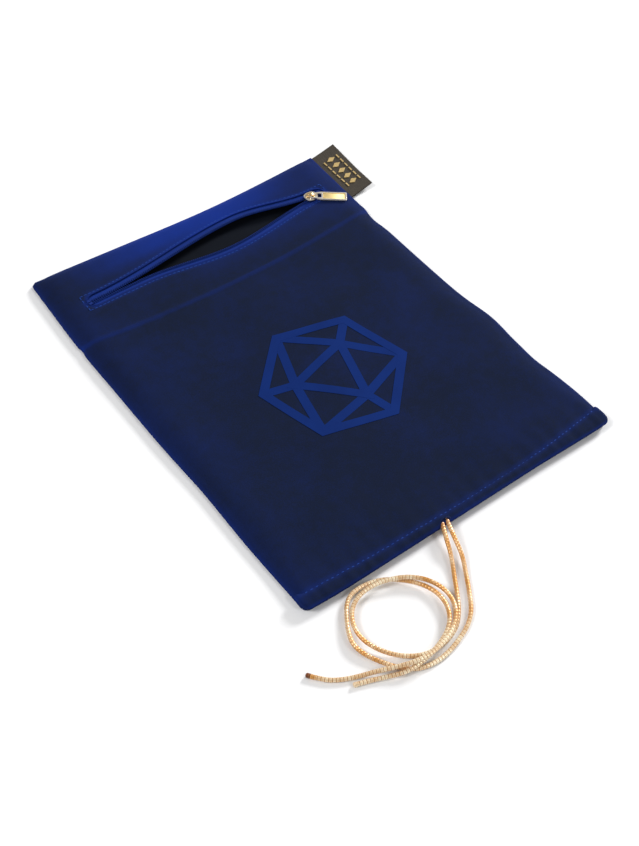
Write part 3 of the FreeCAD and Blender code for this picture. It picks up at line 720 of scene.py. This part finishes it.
def add_cloth(name, grid, thickness, material, node, values=None, upward=True):
    """A laid sheet of cloth on a grid, in place of a CAD node."""
    piece = cloth_from_grid(name, grid, thickness, MATERIALS[material], values, upward)
    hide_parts(node)
    return piece


def add_velvet(name, grid, thickness, node, upward=True):
    """The same in velvet, with sheen painted in where the grid's spots call for it."""
    values = painted_light(grid[:, :, 0], grid[:, :, 1]).ravel()
    return add_cloth(name, grid, thickness, "velvet", node, values, upward)


def make_front_panel():
    def low(x):
        return hem_y(x) - HEM_LAP

    for side, columns in (("left", 56), ("right", 76)):
        grid = half_grid(side, low, yoke_line, 120, columns, front_z)
        piece = add_velvet(f"front_panel_{side}", grid, CLOTH, "front_main_panel")
        gather(piece, side)


def make_back_panel():
    for side, columns in (("left", 44), ("right", 58)):
        grid = half_grid(side, hem_y, base_edge, 120, columns, back_z)
        piece = add_velvet(f"back_panel_{side}", grid, BACK_CLOTH, "back_panel", upward=False)
        gather(piece, side)


def yoke_columns(side, widest):
    """The x of a yoke patch's columns, from the window's end to its widest point. They are close
    together where the window's end is rounded. Also gives that end."""
    end = WINDOW_LEFT if side == "left" else WINDOW_RIGHT
    inwards = math.copysign(1.0, widest - end)
    rounding = end + inwards * WINDOW_ROUND * spread(0, 1, 9)[:-1] ** 2
    along = spread(end + inwards * WINDOW_ROUND, widest, int(abs(widest - end) / 2) + 2)
    return end, np.concatenate([rounding, along])


def make_yoke():
    """The pocket's front in four patches, which meet at the lips' widest points."""
    for place, lip in LIPS.items():
        for side in ("left", "right"):
            grid = yoke_grid(place, lip, side)
            piece = add_velvet(f"yoke_{place}_{side}", grid, CLOTH, "front_yoke")
            follow_lip(piece)


def yoke_grid(place, lip, side):
    """One patch: columns that fan out from the window's end to the side seam, then columns along
    the lip. Each runs from the zip to the base seam or the yoke seam."""
    end, along = yoke_columns(side, lip[1])
    rows = 26
    share = spread(0, 1, rows) ** 1.35
    edge = left_edge if side == "left" else right_edge
    far = base_edge if place == "upper" else yoke_line
    columns = []
    for t in spread(0, 1, 12)[:-1]:
        y = np.full(rows, ZIP_Y)
        for _ in range(3):
            x = edge(y) + (end - edge(y)) * t
            y = ZIP_Y + (far(x) - ZIP_Y) * share
        columns.append(np.stack([x, y], axis=1))
    for x_here in along:
        x = np.full(rows, x_here)
        near = lip_y(lip, x, window_edge(x))
        columns.append(np.stack([x, near + (far(x) - near) * share], axis=1))
    flat = np.stack(columns, axis=1)
    return np.dstack([flat, front_z(flat[:, :, 0], flat[:, :, 1])])


# ---- Channels round the mouth ----
def loop_points(profile, count):
    """Evenly spaced points round a closed smooth loop through the profile's corners."""
    corners = np.array(profile, float)
    n = len(corners)
    t = np.arange(count) * n / count
    i = t.astype(int)
    f = (t - i)[:, None]
    p0, p1, p2, p3 = (corners[(i + k) % n] for k in (-1, 0, 1, 2))
    return 0.5 * (2 * p1 + (p2 - p0) * f + (2 * p0 - 5 * p1 + 4 * p2 - p3) * f ** 2
                  + (3 * p1 - p0 - 3 * p2 + p3) * f ** 3)


def channel_section(place, x, end):
    """Section of a channel at x as (y, z) points round its outside. Towards the end it narrows in
    plan to a rounded corner, and its height closes."""
    inset = abs(end - x)
    rear_corner, corner = (1.4, 4.0) if end < 0 else (2.6, 4.4)
    stitch = float(hem_y(x)) + 2.2 * (1 - smooth(inset / 6.0)) - corner_cut(inset, rear_corner)
    mouth = fold_y(x) + (0.0 if place == "front" else 1.2) + corner_cut(inset, corner)
    crest = max(float(front_z(np.clip(x, -96.0, 94.0), hem_y(x) + 1.5)) + 0.25, CREST_Z - 0.4)
    low, high = (HEM_SPLIT_Z, crest) if place == "front" else (0.0, HEM_SPLIT_Z - 0.1)
    closing = (high - low) / 2 * (1 - math.sqrt(1 - (1 - min(inset / 1.6, 1.0)) ** 2)) * 0.92
    low, high = low + closing, high - closing
    ring = loop_points(FRONT_SECTION if place == "front" else BACK_SECTION, 44)
    return np.column_stack([stitch + (mouth - stitch) * ring[:, 0], low + (high - low) * ring[:, 1]])


def make_channels():
    """Rolled cloth tubes that the cord runs in. They bulge past the side seams and close there."""
    near_end = [0.0, 0.12, 0.35, 0.7, 1.1, 1.6, 2.2, 2.9, 3.7, 4.6, 5.6, 6.8]
    for place in ("front", "back"):
        for side, end in (("left", -HEM_LEFT), ("right", HEM_RIGHT)):
            rest = spread(8.0, abs(end - SPLIT_X), 84)
            xs = end - math.copysign(1.0, end) * np.concatenate([near_end, rest])
            outer_rings, inner_rings = [], []
            for x in xs:
                ring = channel_section(place, x, end)
                centre = ring.mean(axis=0)
                if place == "front" and abs(end - x) > 5.0:
                    pucker = 0.14 * math.sin(x * 2 * math.pi / 6.3 + math.sin(x / 5.0))
                    ring[:, 1] += pucker * np.clip((ring[:, 1] - centre[1]) / 1.5, 0, 1)
                shrink = np.clip(1 - 2 * CHANNEL_WALL / np.ptp(ring, axis=0), 0.15, 1)
                inner = centre + (ring - centre) * shrink
                outer_rings.append(np.column_stack([np.full(len(ring), x), ring]))
                inner_rings.append(np.column_stack([np.full(len(ring), x), inner]))
            build_channel(place, side, np.array(outer_rings), np.array(inner_rings))


def build_channel(place, side, outer, inner):
    """One half of a channel from its outer and inner rings, closed at both ends."""
    count, around = outer.shape[:2]
    points = np.concatenate([outer.reshape(-1, 3), inner.reshape(-1, 3)])
    shift = count * around
    way = np.cross(outer[1, 0] - outer[0, 0], outer[0, 1] - outer[0, 0])
    flip = np.dot(way, outer[0, 0] - outer[0].mean(axis=0)) > 0
    faces = grid_faces(count, around, 0, flip, closed=True)
    faces += grid_faces(count, around, shift, not flip, closed=True)
    for row in (0, count - 1):
        for j in range(around):
            a, b = row * around + j, row * around + (j + 1) % around
            quad = (a, b, b + shift, a + shift)
            faces.append(quad if (row == 0) == flip else quad[::-1])
    x, y = points[:, 0], points[:, 1]
    # painted sheen along the stitch line and the mouth fold, and at the channels' ends
    painted_channel_sheen = 0.22 * bump_at(y - hem_y(x), 1.6) + 0.40 * bump_at(y - fold_y(x), 0.9)
    painted_channel_sheen += 0.25 * np.exp(-np.minimum(x + HEM_LEFT, HEM_RIGHT - x) / 2.0)
    piece = mesh_object(f"{place}_channel_{side}", points, faces, MATERIALS["velvet"],
                        values=np.clip(painted_channel_sheen, 0, 1))
    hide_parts(f"{place}_channel")
    gather(piece, side)


# ---- Stitching ----
def capsule(start, end, radius, sag=0.0):
    """Points and faces of one stitch: a short round thread with tapered ends that dips at both."""
    t = spread(0, 1, 7)
    path = np.array(start) + np.outer(t, np.array(end) - np.array(start))
    path[:, 2] -= sag * (2 * t - 1) ** 2
    size = radius * np.sqrt(np.clip(1 - (2 * t - 1) ** 2 * 0.92, 0, 1))
    return closed_tube(tube_points(path, size, 6), path[0], path[-1])


def join_pieces(parts):
    """One list of points and faces from several."""
    points, faces, count = [], [], 0
    for part_points, part_faces in parts:
        points.append(part_points)
        faces += [tuple(i + count for i in face) for face in part_faces]
        count += len(part_points)
    return np.concatenate(points), faces


def stitches_along(places, surface, lift=0.12):
    """Stitches from each place to the next, lying on a surface."""
    radius, share, sag = 0.32, 0.74, 0.2
    parts = []
    for (x0, y0), (x1, y1) in zip(places, places[1:]):
        x_end, y_end = x0 + (x1 - x0) * share, y0 + (y1 - y0) * share
        z0, z1 = float(surface(x0, y0)) + lift, float(surface(x_end, y_end)) + lift
        parts.append(capsule((x0, y0, z0), (x_end, y_end, z1), radius, sag))
    return join_pieces(parts)


def make_hem_stitching():
    """A row on the front, and one on the back that is pressed into the cloth's underside."""
    spans = {"left": (-99.4, SPLIT_X - 0.4), "right": (SPLIT_X + 0.4, 94.0)}
    for side, (x0, x1) in spans.items():
        xs = spread(x0, x1, int((x1 - x0) / HEM_STITCH) + 1)
        places = [(x, float(hem_y(x))) for x in xs]
        for face, surface, lift in (("front", front_z, 0.10), ("back", lambda x, y: 0.0, 0.28)):
            piece = add_piece(f"hem_stitching_{face}_{side}", stitches_along(places, surface, lift),
                              "thread", f"hem_topstitch_{face}")
            gather(piece, side)


def make_zip_stitching():
    """Stitching round the zip window, in four stretches that follow the lips."""
    reach = WINDOW_EDGE + STITCH_MARGIN
    corners = {"left": WINDOW_LEFT - STITCH_MARGIN, "right": WINDOW_RIGHT + STITCH_MARGIN}
    for place, lip in LIPS.items():
        out = math.copysign(1.0, lip[3])
        for side, corner in corners.items():
            xs = spread(corner, lip[1], int(abs(lip[1] - corner) / ZIP_STITCH) + 1)
            row = [(x, float(lip_y(lip, x, reach))) for x in xs]
            end_row = [(corner, ZIP_Y + out * y) for y in spread(reach, 0.4, 3)]
            mesh = join_pieces([stitches_along(row, front_z), stitches_along(end_row, front_z)])
            piece = add_piece(f"zip_stitching_{place}_{side}", mesh, "thread",
                              "zip_topstitch")
            follow_lip(piece)


def make_buttonhole():
    """Thread worked over the edge of the buttonhole, one bar beside the next."""
    centre = (np.array(EXIT_A) + np.array(EXIT_B)) / 2 + np.array([0.0, -0.15, 0.25])
    across, up = np.array([1.0, -0.05, 0.0]), np.array([0.0, 0.55, 0.84])
    out = np.array([0.0, -0.84, 0.55])
    parts = []
    for angle in np.arange(44) * 2 * math.pi / 44:
        hole = centre + across * 2.9 * math.cos(angle) + up * 1.35 * math.sin(angle)
        rim = centre + across * 3.9 * math.cos(angle) + up * 2.3 * math.sin(angle) - out * 0.15
        parts.append(capsule(hole + out * 0.1, rim, 0.26))
    piece = add_piece("buttonhole_thread", join_pieces(parts), "dark_thread",
                      "buttonhole_stitching")
    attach(piece, "root")


# ---- Print on the front ----
def bar_grid(a, b, lift, mitre=0.0):
    """A straight printed bar that lies on the cloth, as points and faces of a thin closed plate.
    Mitre is how much longer each end is at the bar's right-hand side than at its middle."""
    length = np.linalg.norm(b - a)
    way = (b - a) / length
    across = np.array([-way[1], way[0]])
    share = spread(0, 1, max(3, int(length / 1.2)))[:, None, None]
    offset = spread(-EMBLEM_LINE / 2, EMBLEM_LINE / 2, 6)[None, :, None]
    longer = -offset / (EMBLEM_LINE / 2) * mitre
    flat = a + way * (share * (length + 2 * longer) - longer) + across * offset
    z = front_z(flat[:, :, 0], flat[:, :, 1]) + lift
    return closed_sheet(np.dstack([flat, z]), np.dstack([flat, z - EMBLEM_FILM]), True)


def make_emblem():
    """A plain twenty-sided-die figure in bars, like the CAD's, laid on the cloth. The outline and
    the inner triangle have mitred corners, and the joining bars run in under them."""
    half = EMBLEM_LINE / 2

    def place(r, degrees):
        angle = math.radians(degrees - 45.0)
        return EMBLEM_CENTRE + r * np.array([math.cos(angle), math.sin(angle)])

    hexagon = [place(EMBLEM_RADIUS - half, 90 + 60 * k) for k in range(6)]
    triangle = [place(EMBLEM_RADIUS * 0.52, 90 + 120 * k) for k in range(3)]
    parts = []
    for corners, lift, half_corner in ((hexagon, 0.22, math.pi / 3), (triangle, 0.20, math.pi / 6)):
        for a, b in zip(corners, corners[1:] + corners[:1]):
            parts.append(bar_grid(a, b, lift, half / math.tan(half_corner)))
    for k in range(3):
        for step, lift in ((-1, 0.12), (0, 0.15), (1, 0.18)):
            parts.append(bar_grid(triangle[k], hexagon[(2 * k + step) % 6], lift))
    piece = add_piece("emblem", join_pieces(parts), "print", "emblem_print")
    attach(piece, "root")


# ---- Zip ----
def make_tapes():
    """Four lengths of tape, sewn under the velvet and showing beside the coils."""
    for place, lip in LIPS.items():
        for side in ("left", "right"):
            end = WINDOW_LEFT - 3.0 if side == "left" else WINDOW_RIGHT + 3.0
            xs = spread(end, lip[1], int(abs(lip[1] - end) / 1.5) + 2)
            offsets = spread(COIL_GAP + 0.2, COIL_GAP + COIL_WIDTH + TAPE_HIDDEN, 12)
            x, offset = np.meshgrid(xs, offsets)
            y = lip_y(lip, x, offset)
            z = YOKE_TOP - CLOTH - 0.25 - 0.15 * smooth(window_distance(x, y) / 3.0)
            grid = np.dstack([x, y, z])
            inside = np.clip((offset - COIL_GAP - COIL_WIDTH) / TAPE_SHOWN, 0, 1)
            values = (0.75 + 0.2 * np.sin(inside * math.pi)).ravel()
            piece = add_cloth(f"zip_tape_{place}_{side}", grid, 0.45, "tape",
                              f"zip_tape_{place}", values)
            follow_lip(piece)


def coil_turn(x, y, z, way):
    """One turn of the nylon coil: a bent rib across the row, with its locking head at the gap."""
    half = COIL_WIDTH / 2
    spots = [(-half, -0.35), (-half * 0.5, 0.25), (half * 0.3, 0.38), (half * 0.85, 0.12)]
    path = np.array([(x + 0.1 * k, y + way * s, z + h) for k, (s, h) in enumerate(spots)])
    fine = np.stack([np.interp(spread(0, 3, 8), range(4), path[:, k]) for k in range(3)], axis=1)
    size = [0.36, 0.34, 0.32, 0.30, 0.30, 0.30, 0.30, 0.24]
    return closed_tube(tube_points(fine, size, 6), fine[0], fine[-1])


def make_coils():
    """The two rows of coil, each in a left and a right stretch."""
    for place, lip in LIPS.items():
        out = math.copysign(1.0, lip[3])
        for side in ("left", "right"):
            end = ZIP_LEFT if side == "left" else ZIP_RIGHT
            xs = spread(end, lip[1], int(abs(lip[1] - end) / COIL_PITCH) + 1)
            if side == "right":
                xs = xs[:-1]
            middles = lip_y(lip, xs, COIL_GAP + COIL_WIDTH / 2)
            turns = [coil_turn(x, y, YOKE_TOP - 0.55, out) for x, y in zip(xs, middles)]
            piece = add_piece(f"zip_coil_{place}_{side}", join_pieces(turns), "coil",
                              f"zip_coil_{place}")
            follow_lip(piece)


# ---- Slider and pull ----
def plate(outline, low, high, holes=()):
    """Points and faces of a flat plate between two heights, from its outline and its holes'."""
    curve = bpy.data.curves.new("plate", "CURVE")
    curve.dimensions = "2D"
    curve.fill_mode = "BOTH"
    curve.extrude = (high - low) / 2
    for loop in (outline, *holes):
        spline = curve.splines.new("POLY")
        spline.points.add(len(loop) - 1)
        for spot, (x, y) in zip(spline.points, loop):
            spot.co = (x, y, 0.0, 1.0)
        spline.use_cyclic_u = True
    holder = bpy.data.objects.new("plate", curve)
    mesh = bpy.data.meshes.new_from_object(holder)
    points = np.array([v.co for v in mesh.vertices], float) + (0, 0, (low + high) / 2)
    faces = [tuple(f.vertices) for f in mesh.polygons]
    bpy.data.meshes.remove(mesh)
    bpy.data.objects.remove(holder)
    bpy.data.curves.remove(curve)
    return points, faces


def rounded_outline(corners, radius, steps=5):
    """A closed outline whose corners are rounded."""
    outline, n = [], len(corners)
    for k in range(n):
        a, b, c = (np.array(corners[(k + i) % n], float) for i in (-1, 0, 1))
        cut = min(radius, np.linalg.norm(a - b) / 2.1, np.linalg.norm(c - b) / 2.1)
        start = b + (a - b) / np.linalg.norm(a - b) * cut
        end = b + (c - b) / np.linalg.norm(c - b) * cut
        for t in spread(0, 1, steps):
            outline.append(tuple((1 - t) ** 2 * start + 2 * t * (1 - t) * b + t * t * end))
    return outline


def turned(points, angle, droop=0.0, origin=(0.0, 0.0, 0.0)):
    """Points tilted by droop, turned by angle in plan, and moved to the origin."""
    turn = Matrix.Rotation(angle, 3, "Z") @ Matrix.Rotation(droop, 3, "Y")
    return points @ np.array(turn).T + np.array(origin)


def metal_piece(name, parts, material, bevel_mm):
    """A gold piece from several parts, with its edges softened."""
    points, faces = join_pieces(parts)
    piece = mesh_object(name, points, faces, MATERIALS[material], smooth_angle=35.0)
    weld = piece.modifiers.new("weld", "WELD")
    weld.merge_threshold = 0.002 * MM
    if bevel_mm:
        bevel = piece.modifiers.new("bevel", "BEVEL")
        bevel.width = bevel_mm * MM
        bevel.segments = 3
        bevel.limit_method = "ANGLE"
        bevel.angle_limit = math.radians(40)
    return piece


def make_slider():
    """Two plates joined by a post between the coil rows, and an arched bridge for the pull."""
    x, y = SLIDER_AT
    clear, thick, coil_height = 0.15, 0.8, 1.4
    top_low, bottom_high = YOKE_TOP + clear, YOKE_TOP - coil_height - clear
    half = [(-4.2, 0.0), (-3.7, 2.9), (-0.6, 4.0), (2.8, 3.4), (4.2, 1.6)]
    outline = rounded_outline(half + [(a, -b) for a, b in reversed(half[1:])], 1.6, 7)
    parts = [plate(outline, top_low, top_low + thick), plate(outline, bottom_high - thick, bottom_high)]
    parts = [(points + np.array([x + 0.4, y - 0.2, 0.0]), faces) for points, faces in parts]
    post = rounded_outline([(-3.4, -0.22), (-1.4, -0.22), (-1.4, 0.22), (-3.4, 0.22)], 0.15)
    points, faces = plate(post, bottom_high - 0.1, top_low + 0.1)
    parts.append((points + np.array([x, y, 0.0]), faces))
    body = metal_piece("slider_plates", parts, "gold", 0.22)
    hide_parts("slider_body")
    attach(body, "slider")
    arch = np.array([(2.5 * math.cos(a), 0.0, 1.95 * math.sin(a)) for a in spread(0.0, math.pi, 25)])
    points, faces = strap(arch, 2.2, 0.75)
    points = turned(points, PULL_ANGLE, 0.0, (x, y, top_low + thick - 0.25))
    bridge = metal_piece("slider_bridge", [(points, faces)], "gold_brown", 0.16)
    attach(bridge, "slider")


def strap(path, width, thick):
    """Points and faces of a flat strap bent along a path that lies in the XZ plane."""
    ahead = np.gradient(path, axis=0)
    ahead /= np.linalg.norm(ahead, axis=1, keepdims=True)
    out = np.column_stack([ahead[:, 2], np.zeros(len(path)), -ahead[:, 0]]) * thick / 2
    side = np.array([0.0, 1.0, 0.0]) * width / 2
    corners = ((1, 1), (1, -1), (-1, -1), (-1, 1))
    rings = np.stack([path + out * a + side * b for a, b in corners], axis=1)
    count = len(path)
    faces = grid_faces(count, 4, closed=True, flip=True)
    faces += [(0, 1, 2, 3), tuple(reversed(range((count - 1) * 4, count * 4)))]
    return rings.reshape(-1, 3), faces


def make_pull():
    """The pull tab: a bar under the bridge, a window beside it, and a plate with a sunk panel."""
    half = [(0.0, -2.5), (3.6, -2.6), (6.2, -3.4), (22.5, -3.4)]
    outline = rounded_outline(half + [(a, -b) for a, b in reversed(half)], 0.8)
    window = rounded_outline([(0.9, -1.7), (6.9, -1.95), (6.9, 1.95), (0.9, 1.7)], 0.6)
    panel = rounded_outline([(7.9, -2.7), (21.6, -2.7), (21.6, 2.7), (7.9, 2.7)], 0.6)
    play = np.array([math.sin(PULL_ANGLE), -math.cos(PULL_ANGLE)]) * PULL_PLAY
    origin = (*(np.array(SLIDER_AT) + play), PULL_Z)

    def laid(mesh):
        return turned(mesh[0], PULL_ANGLE, PULL_DROOP, origin), mesh[1]

    rim = [laid(plate(outline, -0.5, 0.1, [window])), laid(plate(outline, 0.1, 0.55, [window, panel]))]
    piece = metal_piece("pull_plate", rim, "gold", 0.15)
    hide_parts("pull_tab")
    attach(piece, "pull")
    sunk = metal_piece("pull_panel", [laid(plate(panel, 0.08, 0.2))], "gold_deep", 0.0)
    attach(sunk, "pull")


# ---- Inside ----
def make_lining():
    """The pocket's back wall: a loose plain cloth just above the back panel, coloured near black as
    painted shade for the inside of the pocket.
    """
    v = spread(0, 1, 40)[:, None]
    u = spread(0, 1, 70)[None, :]
    x = -98.5 + u * 192.0
    y = seam_y(x) + 0.6 + v * (base_edge(x) - 3.0 - seam_y(x))
    z = 1.6 + 0.35 * np.sin(x / 11.0 + y / 9.0) * np.cos(y / 12.0)
    z = z * pillow(np.clip(edge_distance(x, y), 0, None) / 9.0) * 0.7 + 0.75
    grid = np.dstack([x + 0 * v, y, z])
    piece = add_cloth("pocket_lining_cloth", grid, 0.25, "lining", "pocket_lining")
    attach(piece, "root")


def overlock_strip(place, centre_line, z_low, height):
    """A seam allowance wrapped in zigzag thread."""
    line = np.array(centre_line, float)
    reach = np.concatenate([[0], np.cumsum(np.linalg.norm(np.diff(line, axis=0), axis=1))])
    stops = np.arange(0, reach[-1], OVERLOCK_STEP)
    spots = np.stack([np.interp(stops, reach, line[:, k]) for k in range(2)], axis=1)
    middle = z_low + height / 2
    parts = []
    for here, there in zip(spots, spots[1:]):
        way = (there - here) / np.linalg.norm(there - here)
        across = np.array([-way[1], way[0]]) * OVERLOCK_HALF
        for swing in (1, -1):
            start, end = here - across * swing, here + across * swing + way
            parts.append(capsule((*start, middle), (*end, middle), height / 2))
    return add_piece(f"overlock_{place}", join_pieces(parts), "overlock",
                     f"{place}_seam_overlock")


def make_overlocks():
    """The seam allowances: both side seams, the base seam, and the yoke seam under the front."""
    ys = spread(-122.0, 124.0, 60)
    left = overlock_strip("left", [(left_edge(y) + OVERLOCK_INSET, y) for y in ys], 0.85, 0.35)
    gather(left, "left")
    right = overlock_strip("right", [(right_edge(y) - OVERLOCK_INSET, y) for y in ys], 0.85, 0.35)
    gather(right, "right")
    xs = spread(-93.0, 92.0, 50)
    base = overlock_strip("base", [(x, base_edge(x) - OVERLOCK_INSET) for x in xs], 0.85, 0.35)
    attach(base, "root")
    xs = spread(-80.0, 76.0, 50)
    yoke = overlock_strip("yoke", [(x, seam_y(x) - 3.4) for x in xs], 5.6, 0.5)
    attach(yoke, "root")


# ---- Label ----
def label_z(x, y):
    """The label leaves the seam, dips, then lifts towards its fold, with one corner curling up."""
    out = np.clip((x - 95.0) / 22.0, 0, 1)
    return 1.0 + 2.1 * out ** 1.6 + 0.7 * out * smooth((y - 118.0) / 14.0) + 0.25 * np.sin(y / 6.0) * out


def label_place(x, y):
    """Where a spot on the square-cut label lies, in plan."""
    out = (x - LABEL_ROOT) / (LABEL_FOLD - LABEL_ROOT)
    return x + LABEL_SWING * (y - 108.0) * out, y + LABEL_SKEW * (x - LABEL_ROOT)


def make_label():
    """Two plies of ribbon, folded at the outer end."""
    rows, ply, gap = 44, 0.45, 0.25
    bend = ply + gap / 2
    lower = [(x, 0.0) for x in spread(LABEL_ROOT, LABEL_FOLD, 30)]
    fold = [(LABEL_FOLD + bend * math.sin(a), bend * (1 - math.cos(a)))
            for a in spread(0.3, math.pi - 0.3, 7)]
    upper = [(x, 2 * bend) for x, _ in reversed(lower)]
    section = np.array(lower + fold + upper)
    grid = np.zeros((rows, len(section), 3))
    for i, y in enumerate(spread(LABEL_NEAR, LABEL_FAR, rows)):
        grid[i, :, 0], grid[i, :, 1] = label_place(section[:, 0], y)
        grid[i, :, 2] = label_z(section[:, 0], y) + section[:, 1] - 0.2
    piece = cloth_from_grid("side_label", grid, -ply * 0.98, MATERIALS["label"])
    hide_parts("label")
    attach(piece, "root")
    make_label_motif()


def label_tile(corners):
    """Points and faces of one small woven figure that lies on the label."""
    x, y = np.array(corners, float).T
    z = label_z(x, y) + LABEL_FIGURE_Z
    x, y = label_place(x, y)
    n = len(corners)
    points = np.concatenate([np.column_stack([x, y, z]), np.column_stack([x, y, z - 0.3])])
    faces = [tuple(range(n)), tuple(reversed(range(n, 2 * n)))]
    faces += [(k, k + n, (k + 1) % n + n, (k + 1) % n) for k in range(n)]
    return points, faces


def make_label_motif():
    """A generic woven motif: a row of small lozenges between two rows of short bars."""
    middle = 107.0
    tiles = []
    for k in range(5):
        y = 96.5 + k * 6.0
        lozenge = [(middle - 3.0, y), (middle, y - 2.0), (middle + 3.0, y), (middle, y + 2.0)]
        tiles.append(label_tile(lozenge))
    for x in (middle - 5.4, middle + 4.6):
        for k in range(6):
            y = 94.5 + k * 4.7
            tiles.append(label_tile([(x, y), (x + 0.8, y), (x + 0.8, y + 3.4), (x, y + 3.4)]))
    piece = mesh_object("label_motif", *join_pieces(tiles), MATERIALS["label_gold"])
    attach(piece, "root")


# ---- Floor and light ----
def make_floor():
    size, z = 6000.0, -0.05
    corners = [(-size, -size, z), (size, -size, z), (size, size, z), (-size, size, z)]
    mesh_object("floor", corners, [(0, 1, 2, 3)], floor_material())


def area_light(name, place, size, power):
    """A round light that faces the bag, with its place and size in metres."""
    data = bpy.data.lights.new(name, "AREA")
    data.shape = "DISK"
    data.size = size
    data.energy = power
    light = bpy.data.objects.new(name, data)
    light.location = place
    light.rotation_euler = (-Vector(place)).to_track_quat("-Z", "Y").to_euler()
    bpy.context.scene.collection.objects.link(light)


def make_light():
    world = bpy.data.worlds.new("studio")
    world.use_nodes = True
    background = world.node_tree.nodes["Background"]
    background.inputs["Color"].default_value = (1.0, 1.0, 1.0, 1)
    background.inputs["Strength"].default_value = 0.44
    bpy.context.scene.world = world
    area_light("key", (-2.12, 0.62, 2.38), 1.15, 50.0)
    area_light("side", (2.70, 0.52, 1.38), 0.90, 100.0)
    area_light("front", (1.00, -2.38, 2.35), 0.75, 22.0)
    bpy.context.scene.view_settings.view_transform = "Standard"


# ---- Everything ----
MATERIALS = {
    "velvet": velvet_material(),
    # lining: dark navy cloth made near black as painted shade for the pocket's inside
    "lining": plain_cloth_material("lining", (0.0022, 0.0032, 0.0052), (0.0032, 0.0045, 0.0072)),
    "tape": plain_cloth_material("zip_tape", (0.0055, 0.020, 0.140), (0.0065, 0.025, 0.175), 2600.0),
    "coil": thread_material("zip_coil", (0.006, 0.019, 0.115), (0.008, 0.025, 0.155)),
    "thread": thread_material("stitch_thread", (0.009, 0.034, 0.190), (0.014, 0.050, 0.250)),
    "dark_thread": thread_material("buttonhole_thread", (0.008, 0.014, 0.055), (0.010, 0.019, 0.080)),
    "overlock": thread_material("overlock_thread", (0.01, 0.02, 0.1), (0.015, 0.03, 0.13)),
    "print": print_material(),
    "label": label_material(),
    "label_gold": thread_material("label_gold", (0.36, 0.25, 0.095), (0.50, 0.36, 0.145), 0.3),
    "cord": cord_material(),
    "burnt": burnt_material(),
    "gold": gold_material("pale_gold", (0.95, 0.88, 0.76), 0.30),
    "gold_deep": gold_material("sunk_gold", (0.96, 0.80, 0.42), 0.75),
    "gold_brown": gold_material("bridge_gold", (0.85, 0.60, 0.30), 0.24),
    "lacquer": thread_material("lacquered_stop", (0.006, 0.019, 0.115), (0.009, 0.025, 0.155)),
}

make_camera()
make_tail("cord_tail_a", TAIL_A, "drawstring_tail_a", "burnt")
make_tail("cord_tail_b", TAIL_B, "drawstring_tail_b", "cord")
make_feed("cord_feed_a", EXIT_A)
make_feed("cord_feed_b", EXIT_B)
make_channel_cord("cord_run_left", EXIT_A, -1, "drawstring_left_run")
make_channel_cord("cord_run_right", EXIT_B, 1, "drawstring_right_run")
make_front_panel()
make_back_panel()
make_yoke()
make_channels()
make_hem_stitching()
make_zip_stitching()
make_buttonhole()
make_emblem()
make_tapes()
make_coils()
make_lining()
make_overlocks()
make_label()
make_slider()
make_pull()
for node in ("zip_top_stops", "zip_bottom_stop"):
    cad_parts[node].data.materials.clear()
    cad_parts[node].data.materials.append(MATERIALS["lacquer"])
make_floor()
make_light()
